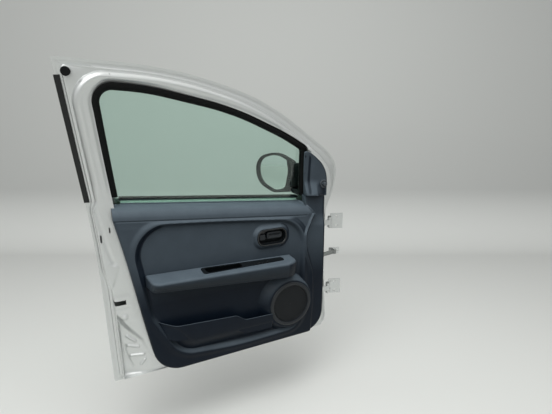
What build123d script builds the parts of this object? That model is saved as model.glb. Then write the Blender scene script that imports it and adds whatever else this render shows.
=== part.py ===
# Front left door of a small hatchback, complete: pressed steel skin and inner panel, framed
# drop glass and its rubbers, moulded trim with armrest, map pocket and speaker, pull handles,
# latch, exterior mirror, hinges and check strap.
# Everything is modelled in millimetres in the door's own frame: X runs to the hinge edge,
# Y outboard, Z up, with zero at the outer skin's lower rear corner. The door stands open by
# open_angle from its closed place. On export all solids move so that the row's origin is the
# centre of the upper hinge's mounting face on the pillar.
import os
from math import atan2, cos, degrees, hypot, pi, radians, sin, tan
from build123d import *

# Overall form of the door
door_height = 1101.0
door_front_x = 917.0
frame_rear_x = -94.0
belt_rear_z = 682.0
belt_rear_x = 59.0
belt_front_x = 763.0
belt_fall = 0.0852
open_angle = 70.0

# Cutting shapes run past the door by these
far_out = 60.0
far_in = -260.0
beyond = 60.0

# Pressed steel
skin_t = 1.2
sheet = 1.2
seam = 0.2
flange_w = 20.0
hem_w = 8.0
landing_inset = 28.0
front_inset = 57.0
landing_depth = 14.0
inner_face_depth = 85.0
clearance = 0.3
skin_window_gap = 8.0
corner_hole_in = 34.0
corner_hole_down = 39.0
corner_hole_r = 10.0
plug_lip = 3.0
well_depth = 60.0
well_rib_w = 9.0
well_rib_h = 4.0
bumper_x = 109.0
bumper_z = 67.0
bumper_r = 9.0
pad_boss_r = 12.0

# Glass and its rubbers
glass_t = 3.2
glass_depth = 20.0
glass_grip = 12.0
run_w = 22.0
run_depth = 34.0
skin_belt_drop = 12.0
outer_seal_up = 6.0
outer_seal_down = 3.0
inner_seal_h = 16.0
reveal_drop = 42.0
glass_below_belt = 75.0

# Trim panel
trim_t = 3.0
trim_face_depth = 109.0
trim_rear_x = 31.0
trim_front_x = 856.0
trim_bottom_z = 25.0
edge_round = 9.0
recess_depth = 10.0
recess_draft = 7.0
front_zone_depth = 93.0
front_zone_draft = 5.0
ledge_start = 53.0
ledge_drop = 72.0
ledge_front_x = 792.0
riser_x = 757.0
sail_t = 6.0
knob_x = 843.0
knob_z = 667.0

# Armrest, its plate, pull cup and switches; u runs along the armrest's top from its rear end
armrest_x0 = 118.0
armrest_x1 = 704.0
armrest_top_z = 412.0
armrest_rear_h = 50.0
armrest_fall = 0.03
armrest_low_fall = 0.083
armrest_reach = 172.0
plate_u0 = 190.0
plate_u1 = 520.0
plate_t = 3.0
cup_depth = 44.0
switch_u = 402.0
switch_pitch = 34.0
switch_v = -31.0
switch_w = 26.0
switch_h = 20.0

# Inner handle
bezel_x = 600.0
bezel_z = 480.0
bezel_half_w = 64.0
bezel_half_h = 34.0
bezel_wall = 7.0
bezel_depth = 115.0
dome_margin = 15.0
dome_depth = 111.0
dome_draft = 10.0

# Speaker and map pocket
speaker_x = 676.0
speaker_z = 190.0
speaker_r = 92.0
grille_r = 78.0
pod_r = 98.0
pod_base_r = 122.0
pod_lean = 16.0
pod_depth = 128.0
ring_seat = 6.0
ring_proud = 3.0
pocket_lip_depth = 138.0

# Outer handle and lock
handle_x = 151.0
handle_z = 570.0
handle_half_l = 89.0
handle_h = 26.0
cup_half_w = 55.0
cup_half_h = 34.0
cup_round = 20.0
cup_floor = 20.0
cup_wall = 2.5
lock_x = 262.0
lock_r = 12.0

# Latch
latch_z = 320.0
mouth_h = 16.0
mouth_x = 52.0
latch_case_h = 66.0
latch_case_x = 72.0

# Hinges and check strap; places along X and Y are measured from the hinge axis
hinge_x = 925.0
hinge_y = -30.0
upper_hinge_z = 480.0
lower_hinge_z = 170.0
pin_r = 5.0
knuckle_r = 9.0
knuckle_h = 24.0
ear_h = 10.0
ear_gap = 0.5
leaf_t = 6.0
door_leaf_h = 56.0
body_leaf_h = 68.0
pillar_gap = 15.0
leaf_mid_y = -36.0
leaf_half_w = 28.0
bolt_pitch = 42.0
bolt_r = 4.5
running_gap = 0.08
check_z = 340.0
check_pin_x = 8.0
check_pin_y = -30.0
check_pin_r = 4.0
check_eye_r = 7.0
check_arm_t = 5.0
check_arm_h = 18.0
check_arm_l = 120.0
check_aim = 0.6
check_bolt_pitch = 34.0
check_bolt_r = 3.3
slot_y = -20.0
slot_w = 26.0
slot_h = 28.0
guide_roller_r = 4.0
guide_play = 1.4

# Exterior mirror
mirror_x = 800.0
mirror_y = 42.0
mirror_rake = 26.0
mirror_pin_r = 9.0
mirror_pin_gap = 0.06
mirror_bowl = 72.0
mirror_foot_z = 612.0
mirror_foot_h = 22.0
mirror_foot_r = 24.0
mirror_head_gap = 5.0
mirror_pin_h = 66.0
mirror_neck_h = 126.0
mirror_mid_z = 690.0
mirror_span = 300.0

# Section of the outer skin as three arcs: start, middle and end points as (y, z)
section_top = door_height + 19
skin_arcs = [
    ((-33.2, -20), (-7.4, 195), (0, 390)),
    ((0, 390), (-5, 525), (-20, 660)),
    ((-20, 660), (-68.4, (660 + section_top) / 2), (-140.2, section_top)),
]
# Section of the inner panel's face: straight up to the belt, then one arc
inner_arcs = [
    ((-inner_face_depth, 640), (-112, (620 + section_top) / 2), (-176, section_top)),
]

# Heights of the window frame are written for a head frame_rise over the belt, and follow the door's
frame_rise = 419.0
stretch = (door_height - belt_rear_z) / frame_rise

# Control polygons in XZ. Columns: x, z, corner radius (0 for as round as the sides allow)
door_outline = [
    (-4, 0, 8),
    (-17, 490, 0),
    (frame_rear_x, door_height, 6),
    (240, belt_rear_z + 405 * stretch, 0),
    (583, belt_rear_z + 312 * stretch, 0),
    (900, belt_rear_z + 106 * stretch, 0),
    (951, belt_rear_z + 45 * stretch, 0),
    (950, 625, 0),
    (door_front_x, 535, 100),
    (door_front_x, 0, 42),
]
# Sides of the door outline, numbered by their first corner, whose face edge lies further in
face_insets = {4: 34.0, 5: 48.0, 6: front_inset, 7: front_inset, 8: front_inset}
corner_well = [
    (-60, -60, 1),
    (-60, 300, 1),
    (10, 282, 30),
    (56, 211, 0),
    (100, 160, 0),
    (175, 60, 40),
    (230, -60, 1),
]
# Ribs on the floor of the corner well. Columns: x and z of one end, x and z of the other
well_ribs = [
    (48, 181, 73, 158),
    (49, 145, 82, 136),
    (56, 104, 97, 103),
    (86, 66, 100, 82),
]
window_outline = [
    (18, belt_rear_z + 335 * stretch, 36),
    (156, belt_rear_z + 327 * stretch, 0),
    (445, belt_rear_z + 264 * stretch, 0),
    (655, belt_rear_z + 174 * stretch, 0),
    (747, belt_rear_z + 123 * stretch, 18),
]
recess_outline = [
    (88, 588, 55),
    (420, 592, 0),
    (712, 545, 80),
    (727, 82, 60),
    (235, 92, 90),
    (112, 250, 0),
]
front_zone = [
    (785, 95, 30),
    (796, 190, 0),
    (790, 330, 30),
    (748, 444, 0),
    (748, 478, 0),
    (793, 575, 20),
    (793, 720, 1),
    (920, 720, 1),
    (920, 70, 1),
]
pocket_outline = [
    (150, 228, 6),
    (200, 212, 60),
    (436, 198, 24),
    (474, 172, 24),
    (562, 168, 6),
    (575, 96, 10),
    (250, 100, 80),
]
# Upper edge of the sail cover, from the trim's riser and the belt. Columns: x, z, corner radius
sail_edge = [
    (-11, 181.5, 8),
    (15, 175.5, 0),
    (43, 156.5, 0),
    (78, 127.5, 0),
    (99, 92.5, 0),
    (107, 57.5, 0),
]
# Ledge of the trim over the belt, as (y, z from the belt line): its top, then its underside
ledge_top = [(-ledge_start, -27), (-80, -30), (-98, -40), (-106, -56), (-trim_face_depth, -ledge_drop)]
ledge_under = [(-trim_face_depth + trim_t, -ledge_drop), (-103, -57), (-95, -43), (-79, -33),
               (-ledge_start, -30)]
# Rim of the mirror in its own plane, as (out along the rim, height, corner radius)
mirror_rim = [
    (26, 612, 12),
    (8, 739, 50),
    (110, 782, 110),
    (222, 752, 70),
    (214, 636, 80),
    (120, 598, 60),
]
# Bowl of the mirror behind its rim, as (share of its depth, how far it draws in)
mirror_steps = [(0.0, 0.0), (0.55, 9.0), (0.85, 24.0), (1.0, 40.0)]


def belt_z(x):
    """Height of the inner belt line at x."""
    return belt_rear_z - belt_fall * (x - belt_rear_x)


def corner_radii(points):
    """Radii for a closed polygon, with open-ended ones as large as their sides allow."""
    radii = []
    n = len(points)
    for i, (x, z, r) in enumerate(points):
        x0, z0, _ = points[i - 1]
        x1, z1, _ = points[(i + 1) % n]
        turn = abs(atan2(z1 - z, x1 - x) - atan2(z - z0, x - x0))
        turn = min(turn, 2 * pi - turn)
        room = 0.46 * min(hypot(x - x0, z - z0), hypot(x1 - x, z1 - z))
        radii.append(r if r else room / tan(turn / 2))
    return radii


def inset(points, distance, radii=None, sides=None):
    """Move every side of a closed clockwise polygon inward by distance or by its own value."""
    sides = sides or {}
    n = len(points)
    out = []
    for i in range(n):
        (ax, az, _), (bx, bz, r), (cx, cz, _) = points[i - 1], points[i], points[(i + 1) % n]
        d1, d2 = hypot(bx - ax, bz - az), hypot(cx - bx, cz - bz)
        u1, u2 = ((bx - ax) / d1, (bz - az) / d1), ((cx - bx) / d2, (cz - bz) / d2)
        before, after = sides.get((i - 1) % n, distance), sides.get(i, distance)
        cross = u1[0] * u2[1] - u1[1] * u2[0]
        if before == after or abs(cross) < 0.02:
            bis = (before + after) / 2 / (1 + u1[0] * u2[0] + u1[1] * u2[1])
            move = ((u1[1] + u2[1]) * bis, -(u1[0] + u2[0]) * bis)
        else:
            move = ((after * u1[0] - before * u2[0]) / cross, (after * u1[1] - before * u2[1]) / cross)
        new_r = r if not r else max(r - (before + after) / 2, 1.5)
        out.append((bx + move[0], bz + move[1], new_r))
    for i, r in (radii or {}).items():
        out[i] = (out[i][0], out[i][1], r)
    return out


def outline_face(points, y):
    """Face of an XZ outline at a depth."""
    line = FilletPolyline(*[(x, z) for x, z, _ in points], radius=corner_radii(points), close=True)
    return Plane((0, y, 0), x_dir=(1, 0, 0), z_dir=(0, -1, 0)) * make_face(line)


def prism(points, y_from=far_out, y_to=far_in):
    """Solid of an XZ outline between two depths, y_from outboard of y_to."""
    return extrude(outline_face(points, y_from), y_from - y_to)


def drafted(points, y_from, y_to, shrink):
    """Solid of an XZ outline that draws in by shrink from y_from to y_to."""
    return loft([outline_face(points, y_from), outline_face(inset(points, shrink), y_to)], ruled=True)


def section_line(arcs, depth, foot=None):
    """Edges of a YZ section moved inboard by depth, with a straight foot down to a height."""
    edges = []
    if foot is not None:
        edges.append(Line((arcs[0][0][0] - depth, foot), (arcs[0][0][0] - depth, arcs[0][0][1])))
    for a, b, c in arcs:
        edges.append(ThreePointArc(*[(y - depth, z) for y, z in (a, b, c)]))
    return edges


def between(line_a, line_b):
    """Solid, as long as the door, between two YZ section lines that run from low to high."""
    a0, a1 = line_a[0] @ 0, line_a[-1] @ 1
    b0, b1 = line_b[0] @ 0, line_b[-1] @ 1
    face = make_face(Curve() + line_a + [Line(a1, b1)] + line_b + [Line(b0, a0)])
    place = Plane((frame_rear_x - beyond, 0, 0), x_dir=(0, 1, 0), z_dir=(1, 0, 0))
    return extrude(place * face, door_front_x - frame_rear_x + 2 * beyond)


def skin_band(d0, d1):
    """Shell that follows the outer skin between two depths."""
    return between(section_line(skin_arcs, d0), section_line(skin_arcs, d1))


def inner_band(d0, d1):
    """Shell that follows the inner panel's face between two depths beyond it."""
    foot = skin_arcs[0][0][1]
    return between(section_line(inner_arcs, d0, foot), section_line(inner_arcs, d1, foot))


def skin_to_inner(d0, d1):
    """Space from d0 behind the skin's outer surface to d1 beyond the inner panel's face."""
    foot = skin_arcs[0][0][1]
    return between(section_line(skin_arcs, d0), section_line(inner_arcs, d1, foot))


def arc_y(arcs, z):
    """Depth of a section's arcs at a height."""
    for a, b, c in arcs:
        if a[1] <= z <= c[1]:
            t = (z - a[1]) / (c[1] - a[1])
            bow = b[0] - (a[0] + c[0]) / 2
            return a[0] + (c[0] - a[0]) * t + 4 * bow * t * (1 - t)
    return arcs[0][0][0]


def window(grow, drop):
    """Window outline grown by grow all round and carried down by drop below the belt."""
    rear_top, front_top = window_outline[0], window_outline[-1]
    rear_lean = (belt_rear_x - rear_top[0]) / (rear_top[1] - belt_rear_z)
    front_lean = (belt_front_x - front_top[0]) / (front_top[1] - belt_z(belt_front_x))
    below = 300
    outline = inset([(belt_rear_x + rear_lean * below, belt_rear_z - below, 2)] + window_outline
                    + [(belt_front_x + front_lean * below, belt_z(belt_front_x) - below, 2)], -grow)
    ends = []
    for (x0, z0, _), (x1, z1, _) in ((outline[0], outline[1]), (outline[-1], outline[-2])):
        dx, dz = x1 - x0, z1 - z0
        t = (belt_z(x0) - drop - z0) / (dz + belt_fall * dx)
        ends.append((x0 + dx * t, z0 + dz * t, 2))
    return [ends[0]] + outline[1:-1] + [ends[1]]


def belt_strip(low, high, x_from, x_to):
    """Outline of a strip along the belt, from low to high above the belt line."""
    return [(x_from, belt_z(x_from) + low, 0.5), (x_from, belt_z(x_from) + high, 0.5),
            (x_to, belt_z(x_to) + high, 0.5), (x_to, belt_z(x_to) + low, 0.5)]


def slanted(section, x_from, x_to):
    """Bar along the belt: a YZ polygon whose z is measured from the belt line."""
    face = Plane((x_from, 0, belt_z(x_from)), x_dir=(0, 1, 0), z_dir=(1, 0, 0)) * make_face(
        Polyline(*section, close=True))
    step = Vector(x_to - x_from, 0, belt_z(x_to) - belt_z(x_from))
    return extrude(face, step.length, dir=step)


def oblong(x, z, half_w, half_h, r):
    """Outline of a rounded rectangle about a point."""
    return [(x - half_w, z - half_h, r), (x - half_w, z + half_h, r),
            (x + half_w, z + half_h, r), (x + half_w, z - half_h, r)]


def bar_outline(x0, z0, x1, z1, width):
    """Outline of a round-ended bar between two points, clockwise."""
    length = hypot(x1 - x0, z1 - z0)
    ux, uz = (x1 - x0) / length, (z1 - z0) / length
    nx, nz = -uz * width / 2, ux * width / 2
    r = 0.45 * width
    return [(x0 - nx, z0 - nz, r), (x0 + nx, z0 + nz, r), (x1 + nx, z1 + nz, r), (x1 - nx, z1 - nz, r)]


def box(x0, x1, y0, y1, z0, z1):
    """Box between corner values."""
    return Pos((x0 + x1) / 2, (y0 + y1) / 2, (z0 + z1) / 2) * Box(
        abs(x1 - x0), abs(y1 - y0), abs(z1 - z0))


def upright(x, y, z0, z1, r):
    """Vertical round bar."""
    return Pos(x, y, (z0 + z1) / 2) * Cylinder(r, z1 - z0)


def facing(x, z, y0, y1, r0, r1=None):
    """Round bar or cone along Y, r0 at y0 and r1 at y1."""
    bar = Cone(r0, r1, y0 - y1) if r1 else Cylinder(r0, y0 - y1)
    return Location((x, (y0 + y1) / 2, z), (90, 0, 0)) * bar


def outer_skin():
    """Skin with its window opening and the hem folded round the inner panel's flange."""
    hem_depth = 2 * skin_t + 2 * seam + sheet
    outline = prism(door_outline)
    skin = skin_band(0, skin_t) & outline
    edge = skin_band(0, hem_depth) & (outline - prism(inset(door_outline, skin_t)))
    hem = skin_band(hem_depth - skin_t, hem_depth) & (outline - prism(inset(door_outline, hem_w)))
    skin = skin + edge + hem - prism(window(skin_window_gap, skin_belt_drop))
    return skin - prism(outer_cup_outline(0))


def face_edge():
    """Outline where the side walls turn into the inner panel's face."""
    return inset(door_outline, landing_inset, {2: 88}, face_insets)


def corner_well_shell(walls):
    """Sunk lower rear corner of the inner panel: floor, step up to the face and ribs."""
    floor = prism(corner_well, -well_depth + sheet, -well_depth)
    step = prism(inset(corner_well, -sheet), -well_depth + sheet, -inner_face_depth) - prism(corner_well)
    shell = (floor + step) & walls
    for x0, z0, x1, z1 in well_ribs:
        shell += drafted(bar_outline(x0, z0, x1, z1, well_rib_w), -well_depth, -well_depth - well_rib_h, 2)
    return shell


def inner_panel():
    """Inner panel: hem flange, seal landing, side walls, face, window reveal and its holes."""
    face_line = face_edge()
    walls = prism(face_line)
    step_edge = inset(door_outline, flange_w, {2: 12})
    flange_d = skin_t + seam
    flange = skin_band(flange_d, flange_d + sheet) & (
        prism(inset(door_outline, skin_t + clearance)) - prism(step_edge))
    step = skin_band(flange_d, landing_depth + sheet) & (
        prism(step_edge) - prism(inset(step_edge, sheet)))
    landing = skin_band(landing_depth, landing_depth + sheet) & (prism(step_edge) - walls)
    wall = skin_to_inner(landing_depth, 0) & (walls - prism(inset(face_line, sheet)))
    face = inner_band(-sheet, 0) & walls
    reveal_in = prism(window(run_w, reveal_drop))
    reveal_out = prism(window(run_w + sheet, reveal_drop + sheet))
    reveal = skin_to_inner(run_depth + 2, 0) & (reveal_out - reveal_in) & walls
    panel = flange + step + landing + wall + face + reveal - reveal_in
    panel -= prism(corner_well, -well_depth, far_in)
    panel += corner_well_shell(walls)
    panel += facing(44, 265, -inner_face_depth, -inner_face_depth - 3, pad_boss_r, pad_boss_r - 2)
    x, z = corner_hole()
    panel -= facing(x, z, arc_y(skin_arcs, z) + 10, far_in, corner_hole_r)
    panel -= facing(speaker_x, speaker_z, -inner_face_depth + 20, -inner_face_depth - 20, grille_r - 8)
    wall_x = door_front_x - front_inset
    panel -= box(wall_x - 20, door_front_x, hinge_y + slot_y - slot_w / 2, hinge_y + slot_y + slot_w / 2,
                 check_z - slot_h / 2, check_z + slot_h / 2)
    return panel - latch_mouth(0)


def corner_hole():
    """Centre of the hole in the frame's upper rear corner."""
    return frame_rear_x + corner_hole_in, door_height - corner_hole_down


def corner_plug():
    """Rubber plug in the upper rear corner's hole, and the rubber bumper in the lower one."""
    x, z = corner_hole()
    y = arc_y(skin_arcs, z) - landing_depth
    stem = facing(x, z, y + 4, y - sheet - 7, corner_hole_r - clearance)
    cap = facing(x, z, y - sheet - 4.5, y - sheet - 7, corner_hole_r + plug_lip)
    return stem + cap + facing(bumper_x, bumper_z, -well_depth, -well_depth - 9, bumper_r, bumper_r - 2)


def window_glass():
    """Curved drop glass, gripped by the run on three sides and standing in the door below."""
    return skin_band(glass_depth, glass_depth + glass_t) & prism(window(glass_grip, glass_below_belt))


def glass_run():
    """Rubber channel round the glass: two cheeks and a web, open to the window."""
    body = skin_band(skin_t + clearance, run_depth + 2 - clearance) & (
        prism(window(run_w - clearance, 0)) - prism(window(0, 30)))
    slot = skin_band(glass_depth - clearance, glass_depth + glass_t + clearance) & prism(
        window(glass_grip + clearance, 30))
    return body - slot


def belt_seal(outboard):
    """Wiper strip along the belt, on the outboard or the inboard face of the glass."""
    x_from, x_to = belt_rear_x + 5, belt_front_x - 5
    if outboard:
        top = outer_seal_up - skin_belt_drop
        low = -skin_belt_drop - outer_seal_down
        body = skin_band(skin_t + clearance, glass_depth - clearance) & prism(
            belt_strip(low, top, x_from, x_to))
        return body + (skin_band(-1.5, skin_t + clearance) & prism(
            belt_strip(clearance - skin_belt_drop, top, x_from, x_to)))
    top = ledge_top[0][1] + 2
    return skin_band(glass_depth + glass_t + clearance, inner_face_depth) & prism(
        belt_strip(top - inner_seal_h, top, x_from, x_to), far_out, -(ledge_start - clearance))


def outer_cup_outline(shrink):
    """Opening in the skin behind the pull handle, or the bowl that fits in it."""
    return oblong(handle_x, handle_z, cup_half_w - shrink, cup_half_h - shrink, cup_round - shrink)


def latch_mouth(grow):
    """Space that the striker passes through on its way into the latch."""
    half = mouth_h / 2 + grow
    return box(0, mouth_x, -inner_face_depth - 5, -44 + grow, latch_z - half, latch_z + half)


def trim_outline(drop):
    """Edge of the trim panel, with its top lowered by drop along the belt."""
    return [
        (trim_rear_x, belt_z(trim_rear_x) - drop, 4),
        (trim_front_x, belt_z(trim_front_x) - drop, 4),
        (trim_front_x, 250, 0),
        (trim_front_x - 4, trim_bottom_z, 85),
        (146, trim_bottom_z, 105),
        (112, 190, 0),
        (60, 480, 0),
    ]


def pod(grow):
    """Raised housing of the speaker, leaning out from the door's recess."""
    floor_y = -(trim_face_depth - recess_depth)
    base = Location((speaker_x - pod_lean, floor_y + trim_t, speaker_z + 4), (90, 0, 0)) * Circle(
        pod_base_r + grow)
    top = Location((speaker_x, -pod_depth, speaker_z), (90, 0, 0)) * Circle(pod_r + grow)
    return loft([base, top], ruled=True)


def trim_panel():
    """Moulded trim: pan with a sunk centre, and the ledge that rolls over the belt."""
    back, face_y = -(inner_face_depth + clearance), -trim_face_depth
    edge = trim_outline(ledge_drop - 4)
    core = inset(edge, trim_t)
    shoulder = face_y + edge_round
    pan = prism(edge, back, shoulder) + drafted(edge, shoulder, face_y, edge_round)
    pan -= prism(core, back + 10, shoulder + trim_t) + drafted(core, shoulder + trim_t, face_y + trim_t,
                                                              edge_round)
    floor_y = face_y + recess_depth
    grown = inset(recess_outline, -trim_t)
    pan += prism(grown, floor_y + trim_t, face_y)
    pan -= drafted(recess_outline, face_y - 1, floor_y, recess_draft)
    zone_y = -front_zone_depth
    pan += prism(inset(front_zone, -trim_t), zone_y + trim_t, face_y) & prism(inset(edge, 1), back, far_in)
    pan -= drafted(inset(front_zone, -1), face_y - 1, zone_y, front_zone_draft)
    dome = oblong(bezel_x, bezel_z, bezel_half_w + dome_margin, bezel_half_h + dome_margin, 44)
    pan += drafted(dome, floor_y + trim_t, -dome_depth, dome_draft)
    pan += pod(0)
    pan -= facing(speaker_x, speaker_z, -60, far_in, grille_r + 2)
    pan -= facing(speaker_x, speaker_z, ring_seat - pod_depth, far_in, speaker_r + clearance)
    pan -= prism(bezel_outline(clearance))
    ledge = slanted(ledge_top + ledge_under, trim_rear_x, ledge_front_x)
    crest = ledge_top[0][1]
    cap = ledge_top + [(back, -ledge_drop), (back, crest - 20), (-ledge_start, crest - 9)]
    for x in (trim_rear_x, ledge_front_x - trim_t):
        ledge += slanted(cap, x, x + trim_t)
    riser = prism(belt_strip(-ledge_drop - 6, 2 - clearance, riser_x, trim_front_x), zone_y + trim_t, zone_y)
    frame = inner_band(-60, clearance) - prism(window(run_w - clearance, reveal_drop - clearance))
    return pan + ledge + riser - frame


def armrest_plane():
    """Plane of the armrest's top: u along the door, v outboard."""
    lie = Vector(0, 69, 12).normalized()
    along = Vector(1, 0, -armrest_fall).normalized()
    corner = (armrest_x0, recess_depth - trim_face_depth, armrest_top_z)
    return Plane(corner, x_dir=along, z_dir=along.cross(lie))


def armrest_section(x):
    """Section of the armrest at x: its top falls gently and its underside faster."""
    back = -(trim_face_depth - recess_depth + clearance)
    top = armrest_top_z - armrest_fall * (x - armrest_x0)
    low = armrest_top_z - armrest_rear_h - armrest_low_fall * (x - armrest_x0)
    pts = [(back, top), (4 - armrest_reach, top - 12), (-armrest_reach, low + 8), (12 - armrest_reach, low),
           (back, low + 4)]
    line = FilletPolyline(*pts, radius=[0.5, 9, 6, 5, 0.5], close=True)
    return Plane((x, 0, 0), x_dir=(0, 1, 0), z_dir=(1, 0, 0)) * make_face(line)


def armrest():
    """Armrest body with room for the switch plate and the pull cup."""
    body = loft([armrest_section(armrest_x0), armrest_section(armrest_x1)], ruled=True)
    plan = FilletPolyline((armrest_x0, -80), (armrest_x0 + 8, -armrest_reach - 1),
                          (armrest_x1 - 16, -armrest_reach - 1), (armrest_x1, -80),
                          radius=[1, 26, 60, 1], close=True)
    low, high = armrest_top_z - 170, armrest_top_z + 90
    body &= extrude(Pos(0, 0, low) * make_face(plan), high - low)
    body &= prism([(armrest_x0 - beyond, low, 1), (armrest_x0 - beyond, high, 1), (armrest_x1 - 104, high, 1),
                   (armrest_x1 - 22, armrest_top_z - 20, 0), (armrest_x1 - 2, armrest_top_z - 62, 0),
                   (armrest_x1 + 2, low, 1)])
    body -= pod(clearance) + facing(speaker_x, speaker_z, -pod_depth, far_in, pod_r + clearance)
    body -= plate_solid(clearance, 20, plate_t + clearance)
    return body - cup_solid(clearance, 0)


def plate_solid(grow, up, down):
    """Switch plate's outline on the armrest top, from up above it to down below it."""
    line = FilletPolyline((plate_u0 - grow, -12 + grow), (plate_u1 + grow, -18 + grow),
                          (plate_u1 + grow, -44 - grow), (plate_u0 - grow, -56 - grow),
                          radius=12, close=True)
    return extrude(armrest_plane() * (Pos(0, 0, -down) * make_face(line)), up + down)


def cup_solid(grow, up):
    """Finger cup of the pull handle, cut down through the plate."""
    line = FilletPolyline((plate_u0 + 8 - grow, -16 + grow), (plate_u0 + 162 + grow, -19 + grow),
                          (plate_u0 + 150 + grow, -48 - grow), (plate_u0 + 16 - grow, -52 - grow),
                          radius=12, close=True)
    depth = cup_depth + grow
    return extrude(armrest_plane() * (Pos(0, 0, -depth) * make_face(line)), depth + up)


def switch_plate():
    """Plate with the pull cup moulded in and two wells for the window switches."""
    plate = plate_solid(0, 0, plate_t) + cup_solid(0, 0)
    line = FilletPolyline((plate_u0 + 10, -18), (plate_u0 + 160, -21), (plate_u0 + 148, -46),
                          (plate_u0 + 18, -50), radius=10, close=True)
    plate -= extrude(armrest_plane() * (Pos(0, 0, 2 - cup_depth) * make_face(line)), cup_depth + 10)
    for i in range(2):
        plate -= extrude(armrest_plane() * (Pos(switch_u + i * switch_pitch, switch_v, -plate_t - 1)
                                            * Rectangle(switch_w + 1, switch_h + 1)), 20)
    return plate


def window_switch(index):
    """Rocker switch: a hump that tips about its middle."""
    side = [(-switch_w / 2, -plate_t), (-switch_w / 2, 1.5), (-2, 0.6), (4, 2.5), (switch_w / 2, 4.5),
            (switch_w / 2, -plate_t)]
    place = armrest_plane() * Pos(switch_u + index * switch_pitch, switch_v + switch_h / 2, 0)
    face = make_face(Polyline(*[(x, 0, z) for x, z in side], close=True))
    return place * extrude(face, switch_h, dir=(0, -1, 0))


def bezel_outline(grow):
    """Oblong of the inner handle's bezel."""
    return oblong(bezel_x, bezel_z, bezel_half_w + grow, bezel_half_h + grow, bezel_half_h + grow - 3)


def handle_bezel():
    """Inner handle's bezel: an oblong cup with a raised rim."""
    back = -(inner_face_depth + clearance + 1)
    rim = prism(bezel_outline(0), back, -bezel_depth)
    return rim - prism(bezel_outline(-bezel_wall), back - trim_t, far_in)


def handle_lever():
    """Inner pull lever lying in the bezel."""
    y = -(inner_face_depth + 2 * clearance + 1 + trim_t)
    pts = [(bezel_x - 18, bezel_z - 8, 6), (bezel_x - 18, bezel_z + 19, 8),
           (bezel_x + 48, bezel_z + 19, 14), (bezel_x + 48, bezel_z - 10, 10)]
    return prism(pts, y, y - 15) - prism(inset(pts, 3), y - 9, y - 30)


def lock_tab():
    """Locking tab beside the lever."""
    y = -(inner_face_depth + 2 * clearance + 1 + trim_t)
    return prism(oblong(bezel_x - 38, bezel_z, 14, 12, 5), y, y - 13)


def speaker_ring():
    """Ring round the speaker grille."""
    ring = facing(speaker_x, speaker_z, ring_seat - pod_depth - clearance, -pod_depth - ring_proud,
                  speaker_r, speaker_r - 3)
    return ring - facing(speaker_x, speaker_z, -60, far_in, grille_r + clearance)


def speaker_grille():
    """Shallow grille dish."""
    dish = facing(speaker_x, speaker_z, 10 - pod_depth, 1 - pod_depth, grille_r)
    return dish - facing(speaker_x, speaker_z, -60, 4 - pod_depth, grille_r - 3)


def map_pocket():
    """Outer wall of the map pocket, leaning out to its lip, with a closing side."""
    floor = -(trim_face_depth - recess_depth + clearance)
    arc = [(floor, 95), (-130, 140), (-pocket_lip_depth, 240)]
    outer = [ThreePointArc(*arc)]
    inner = [ThreePointArc(*[(y + trim_t, z) for y, z in arc])]
    wall = between(inner, outer) & prism(pocket_outline, floor, far_in)
    solid = between([Line((floor, 95), (floor, 240))], outer)
    rim = prism(pocket_outline, floor, far_in) - prism(inset(pocket_outline, trim_t))
    side = solid & rim & box(100, 520, far_in, 0, 80, 245)
    keep_open = box(170, 560, floor + 5, far_in, 150, 300)
    housing = pod(clearance) + facing(speaker_x, speaker_z, -pod_depth, far_in, pod_r + clearance)
    return wall + (side - keep_open) - housing


def sail_outline():
    """Cover of the window frame's front corner, standing on the trim's riser."""
    foot = belt_z(riser_x)
    last_x = riser_x + 105
    return ([(riser_x - 2, foot + 2, 3)] + [(riser_x + x, foot + z * stretch, r) for x, z, r in sail_edge]
            + [(last_x, belt_z(last_x) + 2, 3)])


def sail_cover():
    """Moulded cover inside the front corner of the window frame."""
    return inner_band(clearance, sail_t) & prism(sail_outline())


def sail_knob():
    """Mirror adjusting knob on the sail cover."""
    y = arc_y(inner_arcs, knob_z + 17) - sail_t - 3 * clearance
    return facing(knob_x, knob_z, y, y - 9, 17, 15) + facing(knob_x, knob_z, y - 8, y - 17, 7, 6)


def pillar_strip():
    """Black strip on the outside of the rear window post, wrapped over its edge to the inside."""
    low, high = belt_rear_z - 18, door_height - 48
    strip = prism([(frame_rear_x + 34, low, 2), (frame_rear_x - 36, high, 2), (frame_rear_x + 108, high, 2),
                   (belt_rear_x - 11, low, 2)])
    hem_depth = 2 * skin_t + 2 * seam + sheet
    grown = prism(inset(door_outline, -3))
    flat = skin_band(-1.7, -0.2) & grown
    lip = skin_band(-1.7, hem_depth + 1.4) & (grown - prism(inset(door_outline, -clearance)))
    flap = skin_band(hem_depth + 0.2, hem_depth + 1.4) & (grown - prism(inset(door_outline, 13)))
    return ((flat + lip + flap) & strip) - prism(window(skin_window_gap + clearance, skin_belt_drop))


def outer_cup():
    """Bowl behind the outer pull handle."""
    bowl = skin_band(0, cup_floor) & prism(outer_cup_outline(clearance))
    inside = prism(outer_cup_outline(clearance + cup_wall))
    return bowl - (skin_band(-10, cup_floor - 3) & inside)


def outer_grip():
    """Outer pull handle: a bowed bar on two feet."""
    long, near = handle_half_l, handle_half_l - 18
    plan = [(-long, 12), (-near, 26), (0, 32), (near, 26), (long, 12), (long, -16), (near, -16),
            (near - 8, 14), (0, 20), (8 - near, 14), (-near, -16), (-long, -16)]
    line = FilletPolyline(*[(handle_x + x, y) for x, y in plan],
                          radius=[8, 20, 300, 20, 8, 1, 1, 8, 200, 8, 1, 1], close=True)
    bar = extrude(Pos(0, 0, handle_z - handle_h / 2) * make_face(line), handle_h)
    return bar - skin_band(-clearance, 60)


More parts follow.
